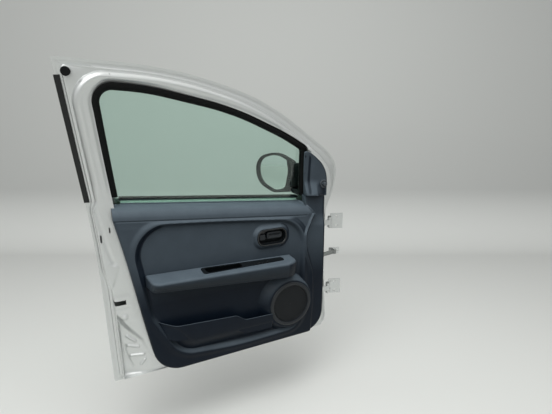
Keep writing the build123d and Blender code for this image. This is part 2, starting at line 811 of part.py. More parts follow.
def lock_cylinder():
    """Key cylinder beside the handle."""
    y = arc_y(skin_arcs, handle_z)
    return facing(lock_x, handle_z, y + 4, y - 3, lock_r) - skin_band(-clearance, 60)


def door_latch():
    """Latch case behind the rear wall, slotted for the striker."""
    case = box(0, latch_case_x, 3 - inner_face_depth, -28, latch_z - latch_case_h / 2,
               latch_z + latch_case_h / 2)
    case &= prism(inset(face_edge(), sheet + clearance))
    return case - latch_mouth(1)


def latch_claw():
    """Claw across the latch's mouth."""
    claw = upright(34, -50, latch_z - 7.7, latch_z + 7.7, 5)
    return claw + box(30, 38, -48, -43.2, latch_z - 5, latch_z + 5)


def hinge_spot(x, y, closed):
    """Door-frame place of a point measured from the hinge axis; pillar points swing open."""
    if closed:
        return hinge_x + x, hinge_y + y
    c, s = cos(radians(open_angle)), sin(radians(open_angle))
    return hinge_x + c * x - s * y, hinge_y + s * x + c * y


def swing(solid):
    """Turn a pillar piece, modelled with the door shut, to where the open door sees it."""
    axis = Axis((hinge_x, hinge_y, 0), (0, 0, 1))
    return solid.rotate(axis, open_angle)


def door_leaf(z):
    """Door half of a hinge: plate on the front wall, arm and one knuckle."""
    wall_x = door_front_x - front_inset
    half = door_leaf_h / 2
    low, high = z - knuckle_h / 2, z + knuckle_h / 2
    plate = box(wall_x, wall_x + leaf_t, hinge_y - 46, hinge_y + 1.5, z - half, z + half)
    arm = box(wall_x, hinge_x, hinge_y - knuckle_r + 1, hinge_y, low, high)
    knuckle = upright(hinge_x, hinge_y, low, high, knuckle_r)
    return plate + arm + knuckle - upright(hinge_x, hinge_y, low - 5, high + 5, pin_r + running_gap)


def body_leaf(z):
    """Pillar half of a hinge: bolted plate with two ears round the door's knuckle."""
    near = hinge_x + pillar_gap
    leaf = box(near, near + leaf_t, hinge_y + leaf_mid_y - leaf_half_w, hinge_y + leaf_mid_y + leaf_half_w,
               z - body_leaf_h / 2, z + body_leaf_h / 2)
    low = knuckle_h / 2 + ear_gap
    for side in (-1, 1):
        z0, z1 = sorted((z + side * low, z + side * (low + ear_h)))
        leaf += upright(hinge_x, hinge_y, z0, z1, knuckle_r)
        leaf += box(hinge_x, near + 1, hinge_y - knuckle_r, hinge_y + 2, z0, z1)
        leaf += box(near - 6, near + 1, hinge_y - 20, hinge_y + 2, z0, z1)
    leaf -= upright(hinge_x, hinge_y, z - 40, z + 40, pin_r + 0.05)
    for side in (-1, 1):
        leaf -= Location((near, hinge_y + leaf_mid_y, z + side * bolt_pitch / 2),
                         (0, 90, 0)) * Cylinder(bolt_r, 40)
    return swing(leaf)


def hinge_pin(z):
    """Headed pin through the knuckles."""
    end = knuckle_h / 2 + ear_gap + ear_h
    pin = upright(hinge_x, hinge_y, z - end - 3, z + end + clearance, pin_r)
    return pin + upright(hinge_x, hinge_y, z + end + clearance, z + end + 4, pin_r + 2.5)


def check_bracket():
    """Pillar bracket of the check strap, with its pin."""
    x, y = hinge_x + check_pin_x, hinge_y + check_pin_y
    face_x = hinge_x + pillar_gap + leaf_t
    bracket = box(face_x - 3, face_x, y - 24, y + 24, check_z - 15, check_z + 15)
    low, ear_t = check_arm_h / 2 + 0.5, 2.5
    for side in (-1, 1):
        z0, z1 = sorted((check_z + side * low, check_z + side * (low + ear_t)))
        bracket += upright(x, y, z0, z1, check_eye_r)
        bracket += box(x, face_x - 1, y - check_eye_r, y + check_eye_r, z0, z1)
    bracket += upright(x, y, check_z - low - ear_t, check_z + low + ear_t, check_pin_r)
    for side in (-1, 1):
        bracket -= Location((face_x, y + side * check_bolt_pitch / 2, check_z),
                            (0, 90, 0)) * Cylinder(check_bolt_r, 20)
    return swing(bracket)


def check_arm():
    """Check strap from its pin, through the slot, to the stop at its end."""
    px, py = hinge_spot(check_pin_x, check_pin_y, False)
    sx, sy = door_front_x - front_inset, hinge_y + slot_y
    turn = degrees(atan2(sy - py, sx - px)) - check_aim
    arm = Pos(check_arm_l / 2, 0, 0) * Box(check_arm_l, check_arm_t, check_arm_h)
    arm += Cylinder(check_eye_r, check_arm_h)
    arm += Pos(check_arm_l, 0, 0) * Box(8, 14, check_arm_h)
    arm -= Cylinder(check_pin_r + running_gap, 40)
    return Location((px, py, check_z), (0, 0, turn)) * arm


def check_guide():
    """Guide plate round the strap's slot in the door's front wall."""
    x = door_front_x - front_inset
    y = hinge_y + slot_y
    z0, z1 = check_z - slot_h / 2, check_z + slot_h / 2
    plate = box(x, x + 3, y - slot_w / 2 - 5, y + slot_w / 2 + 5, z0 - 12, z1 + 12)
    reach = check_arm_t / 2 + guide_play + guide_roller_r
    plate -= box(x - 5, x + 10, y - reach, y + reach, z0, z1)
    for side in (-1, 1):
        plate += upright(x, y + side * reach, z0, z1, guide_roller_r)
    return plate


def mirror_base():
    """Mirror foot on the skin, reaching out to the fold pivot."""
    x, y, r = mirror_x, mirror_y, mirror_foot_r
    top = mirror_foot_z + mirror_foot_h
    foot = FilletPolyline((x - 28, -60), (x - 28, 0), (x - r, y - 4), (x + r, y - 4), (x + 62, -4),
                          (x + 66, -60), radius=[1, 20, 6, 6, 24, 1], close=True)
    base = extrude(Pos(0, 0, mirror_foot_z) * make_face(foot), mirror_foot_h)
    upper = FilletPolyline((x - 24, -60), (x - 24, -6), (x + 46, -6), (x + 50, -60),
                           radius=[1, 8, 8, 1], close=True)
    base += extrude(Pos(0, 0, mirror_foot_z) * make_face(upper), 92)
    base += upright(x, y, mirror_foot_z, top, r)
    base += upright(x, y, top - 4, top + mirror_pin_h, mirror_pin_r)
    return base - skin_band(-clearance, 90)


def mirror_plane():
    """Plane of the mirror's rim: u out along the rim, v up, normal to the rear."""
    a = radians(mirror_rake)
    out = Vector(-sin(a), cos(a), 0)
    return Plane((mirror_x, mirror_y, 0), x_dir=out, z_dir=out.cross(Vector(0, 0, 1)))


def rim_face(shrink, away=0.0):
    """Face of the mirror's rim outline, shrunk all round and moved along its normal."""
    pts = inset(mirror_rim, shrink)
    line = FilletPolyline(*[(u, v) for u, v, _ in pts], radius=corner_radii(pts), close=True)
    return mirror_plane() * (Pos(0, 0, away) * make_face(line))


def mirror_outer_part(u):
    """Space of the mirror head from u outward, clear of the bearing."""
    block = Box(mirror_span, mirror_span, mirror_span)
    return mirror_plane() * Pos(u + mirror_span / 2, mirror_mid_z, 0) * block


def mirror_housing():
    """Bowl of the mirror, with the bearing on the fold pin."""
    bowl = extrude(rim_face(0, -12), 12)
    for (s0, in0), (s1, in1) in zip(mirror_steps, mirror_steps[1:]):
        bowl += loft([rim_face(in0, s0 * mirror_bowl), rim_face(in1, s1 * mirror_bowl)], ruled=True)
    foot_top = mirror_foot_z + mirror_foot_h
    low = foot_top + mirror_head_gap
    bowl += upright(mirror_x, mirror_y, low, mirror_foot_z + mirror_neck_h, mirror_foot_r + 2)
    bowl -= upright(mirror_x, mirror_y, low - beyond, low, mirror_foot_r + 6)
    bowl -= upright(mirror_x, mirror_y, low - beyond, foot_top + mirror_pin_h + mirror_head_gap,
                    mirror_pin_r + mirror_pin_gap)
    return bowl - (extrude(rim_face(7, -40), 40) & mirror_outer_part(mirror_foot_r + 11))


def mirror_glass():
    """Mirror glass in the bowl's mouth."""
    return extrude(rim_face(8, -4), 3.7) & mirror_outer_part(mirror_foot_r + 17)


def build():
    """All nodes by name, in the door's own frame."""
    parts = {
        "door_outer_skin": outer_skin(),
        "door_inner_panel": inner_panel(),
        "corner_plug": corner_plug(),
        "window_glass": window_glass(),
        "glass_run_seal": glass_run(),
        "belt_seal_outer": belt_seal(True),
        "belt_seal_inner": belt_seal(False),
        "pillar_strip": pillar_strip(),
        "trim_panel": trim_panel(),
        "armrest": armrest(),
        "switch_plate": switch_plate(),
        "inner_handle_bezel": handle_bezel(),
        "inner_handle_lever": handle_lever(),
        "inner_lock_tab": lock_tab(),
        "speaker_ring": speaker_ring(),
        "speaker_grille": speaker_grille(),
        "map_pocket": map_pocket(),
        "sail_cover": sail_cover(),
        "mirror_knob": sail_knob(),
        "outer_handle_cup": outer_cup(),
        "outer_handle_grip": outer_grip(),
        "lock_cylinder": lock_cylinder(),
        "door_latch": door_latch(),
        "latch_claw": latch_claw(),
        "check_guide": check_guide(),
        "check_bracket": check_bracket(),
        "check_arm": check_arm(),
        "mirror_base": mirror_base(),
        "mirror_housing": mirror_housing(),
        "mirror_glass": mirror_glass(),
    }
    for index in range(2):
        parts[f"window_switch_{index + 1}"] = window_switch(index)
    for name, z in (("upper", upper_hinge_z), ("lower", lower_hinge_z)):
        parts[f"hinge_door_leaf_{name}"] = door_leaf(z)
        parts[f"hinge_body_leaf_{name}"] = body_leaf(z)
        parts[f"hinge_pin_{name}"] = hinge_pin(z)
    return parts


def origin():
    """Centre of the upper hinge's mounting face, in the door's own frame."""
    x, y = hinge_spot(pillar_gap + leaf_t, leaf_mid_y, False)
    return Vector(x, y, upper_hinge_z)


os.makedirs("parts", exist_ok=True)
for name, solid in build().items():
    export_step(Pos(-origin()) * solid, f"parts/{name}.step")
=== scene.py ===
# Front left door of a small hatchback, standing open and seen from inside the car's rear corner.
# Shapes below are worked out in millimetres in the door's own frame (X to the hinges, Y outboard,
# Z up, zero at the outer skin's lower rear corner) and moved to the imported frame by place().
import math

import bmesh
import bpy
import numpy as np
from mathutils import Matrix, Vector, geometry


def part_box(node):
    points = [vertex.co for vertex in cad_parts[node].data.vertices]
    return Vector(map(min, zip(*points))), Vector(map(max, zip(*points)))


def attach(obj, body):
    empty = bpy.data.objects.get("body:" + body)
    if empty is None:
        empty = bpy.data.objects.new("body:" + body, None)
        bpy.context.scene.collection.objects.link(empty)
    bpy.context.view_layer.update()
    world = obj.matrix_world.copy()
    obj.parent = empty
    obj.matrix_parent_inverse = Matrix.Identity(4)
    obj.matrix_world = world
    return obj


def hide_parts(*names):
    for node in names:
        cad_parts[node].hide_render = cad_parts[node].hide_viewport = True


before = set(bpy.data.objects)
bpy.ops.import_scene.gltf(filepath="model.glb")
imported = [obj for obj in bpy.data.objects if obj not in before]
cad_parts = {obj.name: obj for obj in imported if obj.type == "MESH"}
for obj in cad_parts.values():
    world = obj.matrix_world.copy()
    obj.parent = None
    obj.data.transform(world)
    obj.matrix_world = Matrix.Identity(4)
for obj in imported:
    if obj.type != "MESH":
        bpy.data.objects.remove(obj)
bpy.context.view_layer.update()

print("frame loaded:", len(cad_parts), "nodes")

# The hinge axis and the skin's lower edge fix the door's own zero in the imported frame
hingeAxis = {"x": 925.0, "y": -30.0}
pinLow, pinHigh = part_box("hinge_pin_upper")
doorZero = np.array([
    (pinLow.x + pinHigh.x) / 2 - hingeAxis["x"] / 1000,
    (pinLow.y + pinHigh.y) / 2 - hingeAxis["y"] / 1000,
    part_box("door_outer_skin")[0].z,
])


def place(points):
    # door millimetres to frame metres
    return np.asarray(points, float) / 1000 + doorZero


# Outlines and sections

door = {
    "beltZ": 682.0, "beltX": 59.0, "beltFall": 0.0852,
    "landingInset": 28.0, "flange": 20.0, "landingDepth": 15.2, "runWidth": 22.0,
    # outlines are control polygons. Columns: x, z, corner radius (0 for as round as the sides allow)
    "outline": [(-4, 0, 8), (-17, 490, 0), (-94, 1101, 6), (240, 1087, 0), (583, 994, 0),
                (900, 788, 0), (951, 727, 0), (950, 625, 0), (917, 535, 100), (917, 0, 42)],
    "faceInsets": {4: 34.0, 5: 48.0, 6: 57.0, 7: 57.0, 8: 57.0},
    "window": [(18, 1017, 36), (156, 1009, 0), (445, 946, 0), (655, 856, 0), (747, 805, 18)],
    "windowFrontX": 763.0,
    "skinArcs": [((-33.2, -20), (-7.4, 195), (0, 390)), ((0, 390), (-5, 525), (-20, 660)),
                 ((-20, 660), (-68.4, 890), (-140.2, 1120))],
    "innerArcs": [((-85, 640), (-112, 870), (-176, 1120))],
}


def beltZ(x):
    return door["beltZ"] - door["beltFall"] * (x - door["beltX"])


def arcY(arcs, z):
    # depth of a section's arcs at a height, straight below the first
    z = np.asarray(z, float)
    y = np.full(z.shape, float(arcs[0][0][0]))
    for a, b, c in arcs:
        t = (z - a[1]) / (c[1] - a[1])
        bow = b[0] - (a[0] + c[0]) / 2
        y = np.where((z >= a[1]), a[0] + (c[0] - a[0]) * t + 4 * bow * t * (1 - t), y)
    return y


def skinY(z):
    return arcY(door["skinArcs"], z)


def innerY(z):
    return arcY(door["innerArcs"], z)


def cornerRadii(points):
    # a radius of 0 becomes as large as its two sides allow
    radii = []
    for i, (x, z, r) in enumerate(points):
        x0, z0, _ = points[i - 1]
        x1, z1, _ = points[(i + 1) % len(points)]
        turn = abs(math.atan2(z1 - z, x1 - x) - math.atan2(z - z0, x - x0))
        turn = min(turn, 2 * math.pi - turn)
        room = 0.46 * min(math.hypot(x - x0, z - z0), math.hypot(x1 - x, z1 - z))
        radii.append(r if r else room / math.tan(turn / 2))
    return radii


def inset(points, distance, radii=None, sides=None):
    # every side of a closed clockwise outline moved inward by distance or by its own value
    sides = sides or {}
    n = len(points)
    out = []
    for i in range(n):
        (ax, az, _), (bx, bz, r), (cx, cz, _) = points[i - 1], points[i], points[(i + 1) % n]
        d1, d2 = math.hypot(bx - ax, bz - az), math.hypot(cx - bx, cz - bz)
        u1, u2 = ((bx - ax) / d1, (bz - az) / d1), ((cx - bx) / d2, (cz - bz) / d2)
        before, after = sides.get((i - 1) % n, distance), sides.get(i, distance)
        cross = u1[0] * u2[1] - u1[1] * u2[0]
        if before == after or abs(cross) < 0.02:
            bis = (before + after) / 2 / (1 + u1[0] * u2[0] + u1[1] * u2[1])
            move = ((u1[1] + u2[1]) * bis, -(u1[0] + u2[0]) * bis)
        else:
            move = ((after * u1[0] - before * u2[0]) / cross,
                    (after * u1[1] - before * u2[1]) / cross)
        out.append((bx + move[0], bz + move[1], r if not r else max(r - (before + after) / 2, 1.5)))
    for i, r in (radii or {}).items():
        out[i] = (out[i][0], out[i][1], r)
    return out


def trace(points, step=3.0, plan=None, closed=True):
    # evenly spaced samples along a rounded outline, and the plan that gives matching samples
    # on an inset copy of it
    n = len(points)
    radii = cornerRadii(points)
    corners = []
    for i, (bx, bz, _) in enumerate(points):
        b = np.array([bx, bz], float)
        if not closed and i in (0, n - 1):
            corners.append((b, b, None, 0.0, 0.0))
            continue
        a, c = np.array(points[i - 1][:2], float), np.array(points[(i + 1) % n][:2], float)
        u1, u2 = (b - a) / np.linalg.norm(b - a), (c - b) / np.linalg.norm(c - b)
        turn = math.atan2(u1[0] * u2[1] - u1[1] * u2[0], float(u1 @ u2))
        cut = radii[i] * math.tan(abs(turn) / 2)
        side = math.copysign(1.0, turn)
        centre = b - u1 * cut + side * radii[i] * np.array([-u1[1], u1[0]])
        corners.append((b - u1 * cut, b + u2 * cut, centre, turn, radii[i]))
    if plan is None:
        plan = []
        for i, (start, end, centre, turn, radius) in enumerate(corners):
            after = np.linalg.norm(corners[(i + 1) % n][0] - end)
            plan.append((1 if centre is None else max(2, round(radius * abs(turn) / step) + 1),
                         max(1, round(after / step))))
    out = []
    for i, (start, end, centre, turn, radius) in enumerate(corners):
        if centre is None:
            out.append(start[None])
        else:
            angle = np.linspace(0, turn, plan[i][0])[:, None]
            arm = (start - centre)[None]
            across = np.array([[-arm[0, 1], arm[0, 0]]])
            out.append(centre + arm * np.cos(angle) + across * np.sin(angle))
        if closed or i < n - 1:
            share = (np.arange(1, plan[i][1]) / plan[i][1])[:, None]
            out.append(end + (corners[(i + 1) % n][0] - end) * share)
    return np.concatenate(out), plan


def oblong(x, z, halfW, halfH, r):
    return [(x - halfW, z - halfH, r), (x - halfW, z + halfH, r), (x + halfW, z + halfH, r),
            (x + halfW, z - halfH, r)]


def circle(x, z, r, count=72):
    a = np.linspace(0, 2 * math.pi, count, endpoint=False)
    return np.stack([x + r * np.cos(a), z - r * np.sin(a)], axis=1)


def window(grow, drop):
    # window outline grown all round and carried down by drop below the belt
    rearTop, frontTop, below = door["window"][0], door["window"][-1], 300
    rearLean = (door["beltX"] - rearTop[0]) / (rearTop[1] - door["beltZ"])
    frontX = door["windowFrontX"]
    frontLean = (frontX - frontTop[0]) / (frontTop[1] - beltZ(frontX))
    outline = inset([(door["beltX"] + rearLean * below, door["beltZ"] - below, 2)] + door["window"]
                    + [(frontX + frontLean * below, beltZ(frontX) - below, 2)], -grow)
    ends = []
    for (x0, z0, _), (x1, z1, _) in ((outline[0], outline[1]), (outline[-1], outline[-2])):
        dx, dz = x1 - x0, z1 - z0
        t = (beltZ(x0) - drop - z0) / (dz + door["beltFall"] * dx)
        ends.append((x0 + dx * t, z0 + dz * t, 2))
    return [ends[0]] + outline[1:-1] + [ends[1]]


def depthIn(points, outline):
    # distance of points to a closed outline, positive inside
    ends = np.roll(outline, -1, axis=0)
    run = ends - outline
    size = np.maximum((run ** 2).sum(axis=1), 1e-9)
    rise = np.where(np.abs(run[:, 1]) < 1e-9, 1e-9, run[:, 1])
    found = []
    for chunk in np.array_split(points, max(1, len(points) // 6000)):
        px, pz = chunk[:, :1], chunk[:, 1:2]
        t = np.clip(((px - outline[:, 0]) * run[:, 0] + (pz - outline[:, 1]) * run[:, 1]) / size, 0, 1)
        gap = (px - outline[:, 0] - t * run[:, 0]) ** 2 + (pz - outline[:, 1] - t * run[:, 1]) ** 2
        crossed = ((outline[:, 1] > pz) != (ends[:, 1] > pz)) & (
            px < run[:, 0] * (pz - outline[:, 1]) / rise + outline[:, 0])
        found.append(np.sqrt(gap.min(axis=1)) * np.where(crossed.sum(axis=1) % 2 == 1, 1, -1))
    return np.concatenate(found)


def lineGap(points, line):
    # distance of points to an open line
    line = np.asarray(line, float)
    found = np.full(len(points), 1e9)
    for a, b in zip(line, line[1:]):
        run = b - a
        t = np.clip(((points - a) @ run) / (run @ run), 0, 1)
        found = np.minimum(found, np.linalg.norm(points - a - t[:, None] * run, axis=1))
    return found


def ease(t):
    t = np.clip(t, 0, 1)
    return t * t * (3 - 2 * t)


def fade(value, span):
    # 0 up to where a span (start, run) begins, 1 from its end on, soft between them
    start, run = span
    return ease((value - start) / run)


def ridge(gap, half):
    # rounded bead of height 1 that ends half away from its line
    return np.where(np.abs(gap) < half, 0.5 + 0.5 * np.cos(np.pi * gap / half), 0.0)


def rounding(t):
    # quarter round: 1 at t = 0, 0 from t = 1
    t = np.clip(t, 0, 1)
    return 1 - np.sqrt(np.maximum(0, 1 - (1 - t) ** 2))


# Mesh making

def patch(rim, pitch, holes=()):
    # flat triangles inside a rim and outside its holes, on a staggered grid
    low, high = rim.min(axis=0), rim.max(axis=0)
    rows = []
    for k, z in enumerate(np.arange(low[1], high[1], pitch * 0.866)):
        x = np.arange(low[0] + (k % 2) * pitch / 2, high[0], pitch)
        rows.append(np.stack([x, np.full(len(x), z)], axis=1))
    grid = np.concatenate(rows)
    grid = grid[depthIn(grid, rim[::3]) > 0.55 * pitch]
    for hole in holes:
        grid = grid[depthIn(grid, hole) < -0.55 * pitch]
    loops, edges, base = [rim] + list(holes), [], 0
    for loop in loops:
        edges += [(base + i, base + (i + 1) % len(loop)) for i in range(len(loop))]
        base += len(loop)
    points = np.concatenate(loops + [grid])
    found = geometry.delaunay_2d_cdt([Vector(p) for p in points.tolist()], edges, [], 0, 1e-4, False)
    flat = np.array([tuple(p) for p in found[0]])
    tris = np.array([f for f in found[2] if len(f) == 3])
    middle = flat[tris].mean(axis=1)
    keep = depthIn(middle, rim) > 0
    for hole in holes:
        keep &= depthIn(middle, hole) < 0
    return flat, tris[keep]


def lift(flat, tris, height):
    # flat patch in XZ to a surface y = height(points)
    return np.stack([flat[:, 0], height(flat), flat[:, 1]], axis=1), tris.tolist()


def upright(points, y):
    # XZ points at a depth
    return np.stack([points[:, 0], np.broadcast_to(y, len(points)), points[:, 1]], axis=1)


def strip(rows, closed=True):
    # quads between matching rows of points
    count = len(rows[0])
    last = count if closed else count - 1
    faces = []
    for r in range(len(rows) - 1):
        for i in range(last):
            j = (i + 1) % count
            faces.append((r * count + i, r * count + j, (r + 1) * count + j, (r + 1) * count + i))
    return np.concatenate(rows), faces


def lid(ring):
    return np.asarray(ring, float), [tuple(range(len(ring)))]


def inner(outline, inward, step, plan):
    # samples of an outline drawn in, matching those of the outline itself
    return trace(inset(outline, max(inward, 0.001)), step, plan)[0]


def quarter(steps):
    # quarter circle as (share drawn in, share still to rise)
    angles = [math.pi / 2 * k / steps for k in range(steps + 1)]
    return [(1 - math.cos(a), 1 - math.sin(a)) for a in angles]


def tablet(outline, back, front, edge, step=3.0):
    # rows of a plate that rises inboard from back to front, with its front rim rounded by edge
    flat, plan = trace(outline, step)
    rows = [upright(flat, back)]
    for drawn, left in quarter(4):
        rows.append(upright(inner(outline, edge * drawn, step, plan), front + edge * left))
    return rows


def turned(profile, centre, count=72, axis="y"):
    # revolved surface about a line along an axis: profile points are (radius, place on the axis)
    a = np.linspace(0, 2 * math.pi, count, endpoint=False)
    rows = []
    for radius, along in profile:
        c, s = radius * np.cos(a), radius * np.sin(a)
        along = np.full(len(a), along)
        order = {"y": (c, along, s), "z": (c, s, along), "x": (along, c, s)}[axis]
        rows.append(np.stack(order, axis=1) + np.array(centre, float))
    return strip(rows)


def piece(name, parts, finish, body, replaces=(), crease=38.0):
    # one object from joined parts, welded, smooth except over sharp creases
    verts, faces, base = [], [], 0
    for v, f in parts:
        verts.append(np.asarray(v, float))
        faces += [tuple(i + base for i in face) for face in f]
        base += len(v)
    mesh = bpy.data.meshes.new(name)
    mesh.from_pydata(place(np.concatenate(verts)).tolist(), [], faces)
    work = bmesh.new()
    work.from_mesh(mesh)
    bmesh.ops.remove_doubles(work, verts=work.verts, dist=0.00004)
    bmesh.ops.dissolve_degenerate(work, edges=work.edges, dist=0.00001)
    bmesh.ops.triangulate(work, faces=[f for f in work.faces if len(f.verts) > 4])
    bmesh.ops.recalc_face_normals(work, faces=work.faces)
    work.to_mesh(mesh)
    work.free()
    mesh.polygons.foreach_set("use_smooth", [True] * len(mesh.polygons))
    mesh.set_sharp_from_angle(angle=math.radians(crease))
    obj = bpy.data.objects.new(name, mesh)
    bpy.context.scene.collection.objects.link(obj)
    mesh.materials.append(finishes[finish])
    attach(obj, body)
    if replaces:
        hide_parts(*replaces)
    return obj


def linear(hexCode):
    # sRGB hex to linear RGBA
    parts = [int(hexCode[i:i + 2], 16) / 255 for i in (1, 3, 5)]
    return [c / 12.92 if c <= 0.04045 else ((c + 0.055) / 1.055) ** 2.4 for c in parts] + [1.0]


def addNode(tree, kind, inputs=None, **settings):
    # a pair (node, output) in inputs is linked, anything else is set on the socket
    node = tree.nodes.new("ShaderNode" + kind)
    for name, value in settings.items():
        setattr(node, name, value)
    for socket, value in (inputs or {}).items():
        if isinstance(value, tuple) and len(value) == 2 and isinstance(value[0], bpy.types.Node):
            tree.links.new(value[0].outputs[value[1]], node.inputs[socket])
        else:
            node.inputs[socket].default_value = value
    return node


# Materials

def newMaterial(name, uniform):
    # principled shader, with the values that hold all over it
    material = bpy.data.materials.new(name)
    material.use_nodes = True
    tree = material.node_tree
    tree.nodes.clear()
    shader = addNode(tree, "BsdfPrincipled", uniform)
    addNode(tree, "OutputMaterial", {"Surface": (shader, "BSDF")})
    return material, tree, addNode(tree, "TexCoord"), shader


def pattern(tree, coords, kind, millimetres, inputs=None, **settings):
    # noise or voronoi whose cells are that many millimetres across
    sockets = {"Vector": (coords, "Object"), "Scale": 1000 / millimetres}
    sockets.update(inputs or {})
    return addNode(tree, "Tex" + kind, sockets, **settings), "Fac" if kind == "Noise" else "Distance"


def spread(tree, source, toMin=0.0, toMax=1.0, fromMin=0.0, fromMax=1.0):
    return addNode(tree, "MapRange", {"Value": source, "To Min": toMin, "To Max": toMax,
                                      "From Min": fromMin, "From Max": fromMax}), "Result"


def ramp(tree, source, stops):
    node = addNode(tree, "ValToRGB", {"Fac": source})
    for position, _ in stops[1:-1]:
        node.color_ramp.elements.new(position)
    for element, (position, colour) in zip(node.color_ramp.elements, stops):
        element.position, element.color = position, linear(colour)
    return node, "Color"


def bump(tree, source, strength, distance):
    sockets = {"Height": source, "Strength": strength, "Distance": distance}
    return addNode(tree, "Bump", sockets), "Normal"


def dress(tree, shader, sources):
    for socket, (node, output) in sources.items():
        tree.links.new(node.outputs[output], shader.inputs[socket])


def silverLacquer():
    # steel in metallic base coat under clear lacquer: silver flakes darken at a slant, and the
    # clear coat adds sharp reflections over them
    look = {"tones": ("#CACDCC", "#D6D8D7"), "metallic": 0.78, "roughness": (0.3, 0.4),
            "flake": 0.6, "orangePeel": 9.0, "peelDepth": 0.02, "coat": 0.6, "coatRoughness": 0.05}
    material, tree, coords, shader = newMaterial("silverLacquer", {
        "Metallic": look["metallic"], "Coat Weight": look["coat"],
        "Coat Roughness": look["coatRoughness"]})
    flake = pattern(tree, coords, "Voronoi", look["flake"])
    peel = pattern(tree, coords, "Noise", look["orangePeel"], {"Detail": 1.0})
    dress(tree, shader, {
        "Base Color": ramp(tree, flake, [(0.0, look["tones"][0]), (1.0, look["tones"][1])]),
        "Roughness": spread(tree, flake, *look["roughness"]),
        "Coat Normal": bump(tree, peel, look["peelDepth"], 0.001)})
    return material


def paintedLightShare(tree, coords):
    # share of painted light in the plastic's colour: lighter most on what faces up, some above the
    # armrest, darker as painted shade below it and where it turns to the dashboard
    paintedLightLimits = {"lowZ": -0.19, "highZ": -0.03, "upright": 0.7, "lean": (0.02, 0.14), "up": (0.05, 0.85)}
    normal = addNode(tree, "SeparateXYZ", {"Vector": (coords, "Normal")})
    spot = addNode(tree, "SeparateXYZ", {"Vector": (coords, "Object")})
    height = spread(tree, (spot, "Z"), 0.0, paintedLightLimits["upright"], paintedLightLimits["lowZ"], paintedLightLimits["highZ"])
    lee = spread(tree, (normal, "X"), 1.0, 0.0, *paintedLightLimits["lean"])
    upper = addNode(tree, "Math", {0: height, 1: lee}, operation="MULTIPLY")
    upward = spread(tree, (normal, "Z"), 0.0, 1.0, *paintedLightLimits["up"])
    both = addNode(tree, "Math", {0: (upper, "Value"), 1: upward}, operation="ADD", use_clamp=True)
    return both, "Value"


def grained(name, dark, light, grainSize, roughness, depth, gloss=0.5, paintedLitTones=None):
    # moulded plastic with an eroded grain, slightly lighter on the crests, and clouded where
    # hands have polished it
    look = {"cloud": 60, "cloudDetail": 3.0, "lightFrom": 0.6, "polish": 0.05, "grainDepth": 0.0002,
            "ior": 1.49}
    material, tree, coords, shader = newMaterial(name, {"IOR": look["ior"],
                                                        "Specular IOR Level": gloss})
    cells = pattern(tree, coords, "Voronoi", grainSize, feature="SMOOTH_F1")
    cloud = pattern(tree, coords, "Noise", look["cloud"], {"Detail": look["cloudDetail"]})
    mixed = addNode(tree, "Math", {0: cells, 1: cloud}, operation="MULTIPLY"), "Value"
    tone = ramp(tree, mixed, [(0.0, dark), (look["lightFrom"], light)])
    # painted light and shade: paler tones where faces turn up and above the armrest, the darker ones
    # below it and on faces turned to the dashboard
    if paintedLitTones:
        pale = ramp(tree, mixed, [(0.0, paintedLitTones[0]), (look["lightFrom"], paintedLitTones[1])])
        tone = addNode(tree, "MixRGB", {"Fac": paintedLightShare(tree, coords), "Color1": tone,
                                        "Color2": pale}), "Color"
    dress(tree, shader, {
        "Base Color": tone,
        "Roughness": spread(tree, cloud, roughness - look["polish"], roughness + look["polish"]),
        "Normal": bump(tree, cells, depth, look["grainDepth"])})
    return material


def perforatedSteel():
    # painted steel punched with small round holes: the holes are drawn larger than the real
    # 1.5 mm, so that the grille still reads as pierced in the render
    look = {"pitch": 4.0, "holeEdge": (0.28, 0.4), "gloss": 0.25, "tones": ("#030404", "#14181C"),
            "roughness": (0.8, 0.45), "dent": 0.6}
    material, tree, coords, shader = newMaterial("perforatedPaintedSteel",
                                                 {"Specular IOR Level": look["gloss"]})
    flat = addNode(tree, "Mapping", {"Vector": (coords, "Object"), "Scale": (1, 0.0, 1)})
    holes = pattern(tree, coords, "Voronoi", look["pitch"],
                    {"Vector": (flat, "Vector"), "Randomness": 0.0})
    edge = spread(tree, holes, 0.0, 1.0, *look["holeEdge"])
    dress(tree, shader, {
        "Base Color": ramp(tree, edge, [(0.0, look["tones"][0]), (1.0, look["tones"][1])]),
        "Roughness": spread(tree, edge, *look["roughness"]),
        "Normal": bump(tree, edge, look["dent"], 0.001)})
    return material


def clouded(name, uniform, kind, size, stops, roughness, inputs=None):
    # plain surface whose colour and gloss drift together
    material, tree, coords, shader = newMaterial(name, uniform)
    drift = pattern(tree, coords, kind, size, inputs)
    dress(tree, shader, {"Base Color": ramp(tree, drift, stops),
                         "Roughness": spread(tree, drift, *roughness)})
    return material


def tintedGlass():
    # heat-absorbing soda-lime glass: clear and pale green, with faint wiped streaks
    look = {"tint": "#D0EAE0", "shadow": "#E4F2EA", "ior": 1.52, "streak": (6.0, 6.0, 1.2),
            "smear": 3.0, "smearFrom": (0.5, 0.75), "haze": 0.04}
    material, tree, coords, shader = newMaterial("tintedGlass", {
        "Base Color": linear(look["tint"]), "IOR": look["ior"], "Transmission Weight": 1.0})
    streak = addNode(tree, "Mapping", {"Vector": (coords, "Object"), "Scale": look["streak"]})
    smear = addNode(tree, "TexNoise", {"Vector": (streak, "Vector"), "Detail": 6.0,
                                       "Scale": look["smear"]})
    haze = spread(tree, (smear, "Fac"), 0.0, look["haze"], *look["smearFrom"])
    dress(tree, shader, {"Roughness": haze})
    path = addNode(tree, "LightPath")
    clear = addNode(tree, "BsdfTransparent", {"Color": linear(look["shadow"])})
    mix = addNode(tree, "MixShader", {0: (path, "Is Shadow Ray"), 1: (shader, "BSDF"),
                                      2: (clear, "BSDF")})
    output = next(n for n in tree.nodes if n.type == "OUTPUT_MATERIAL")
    tree.links.new(mix.outputs["Shader"], output.inputs["Surface"])
    return material


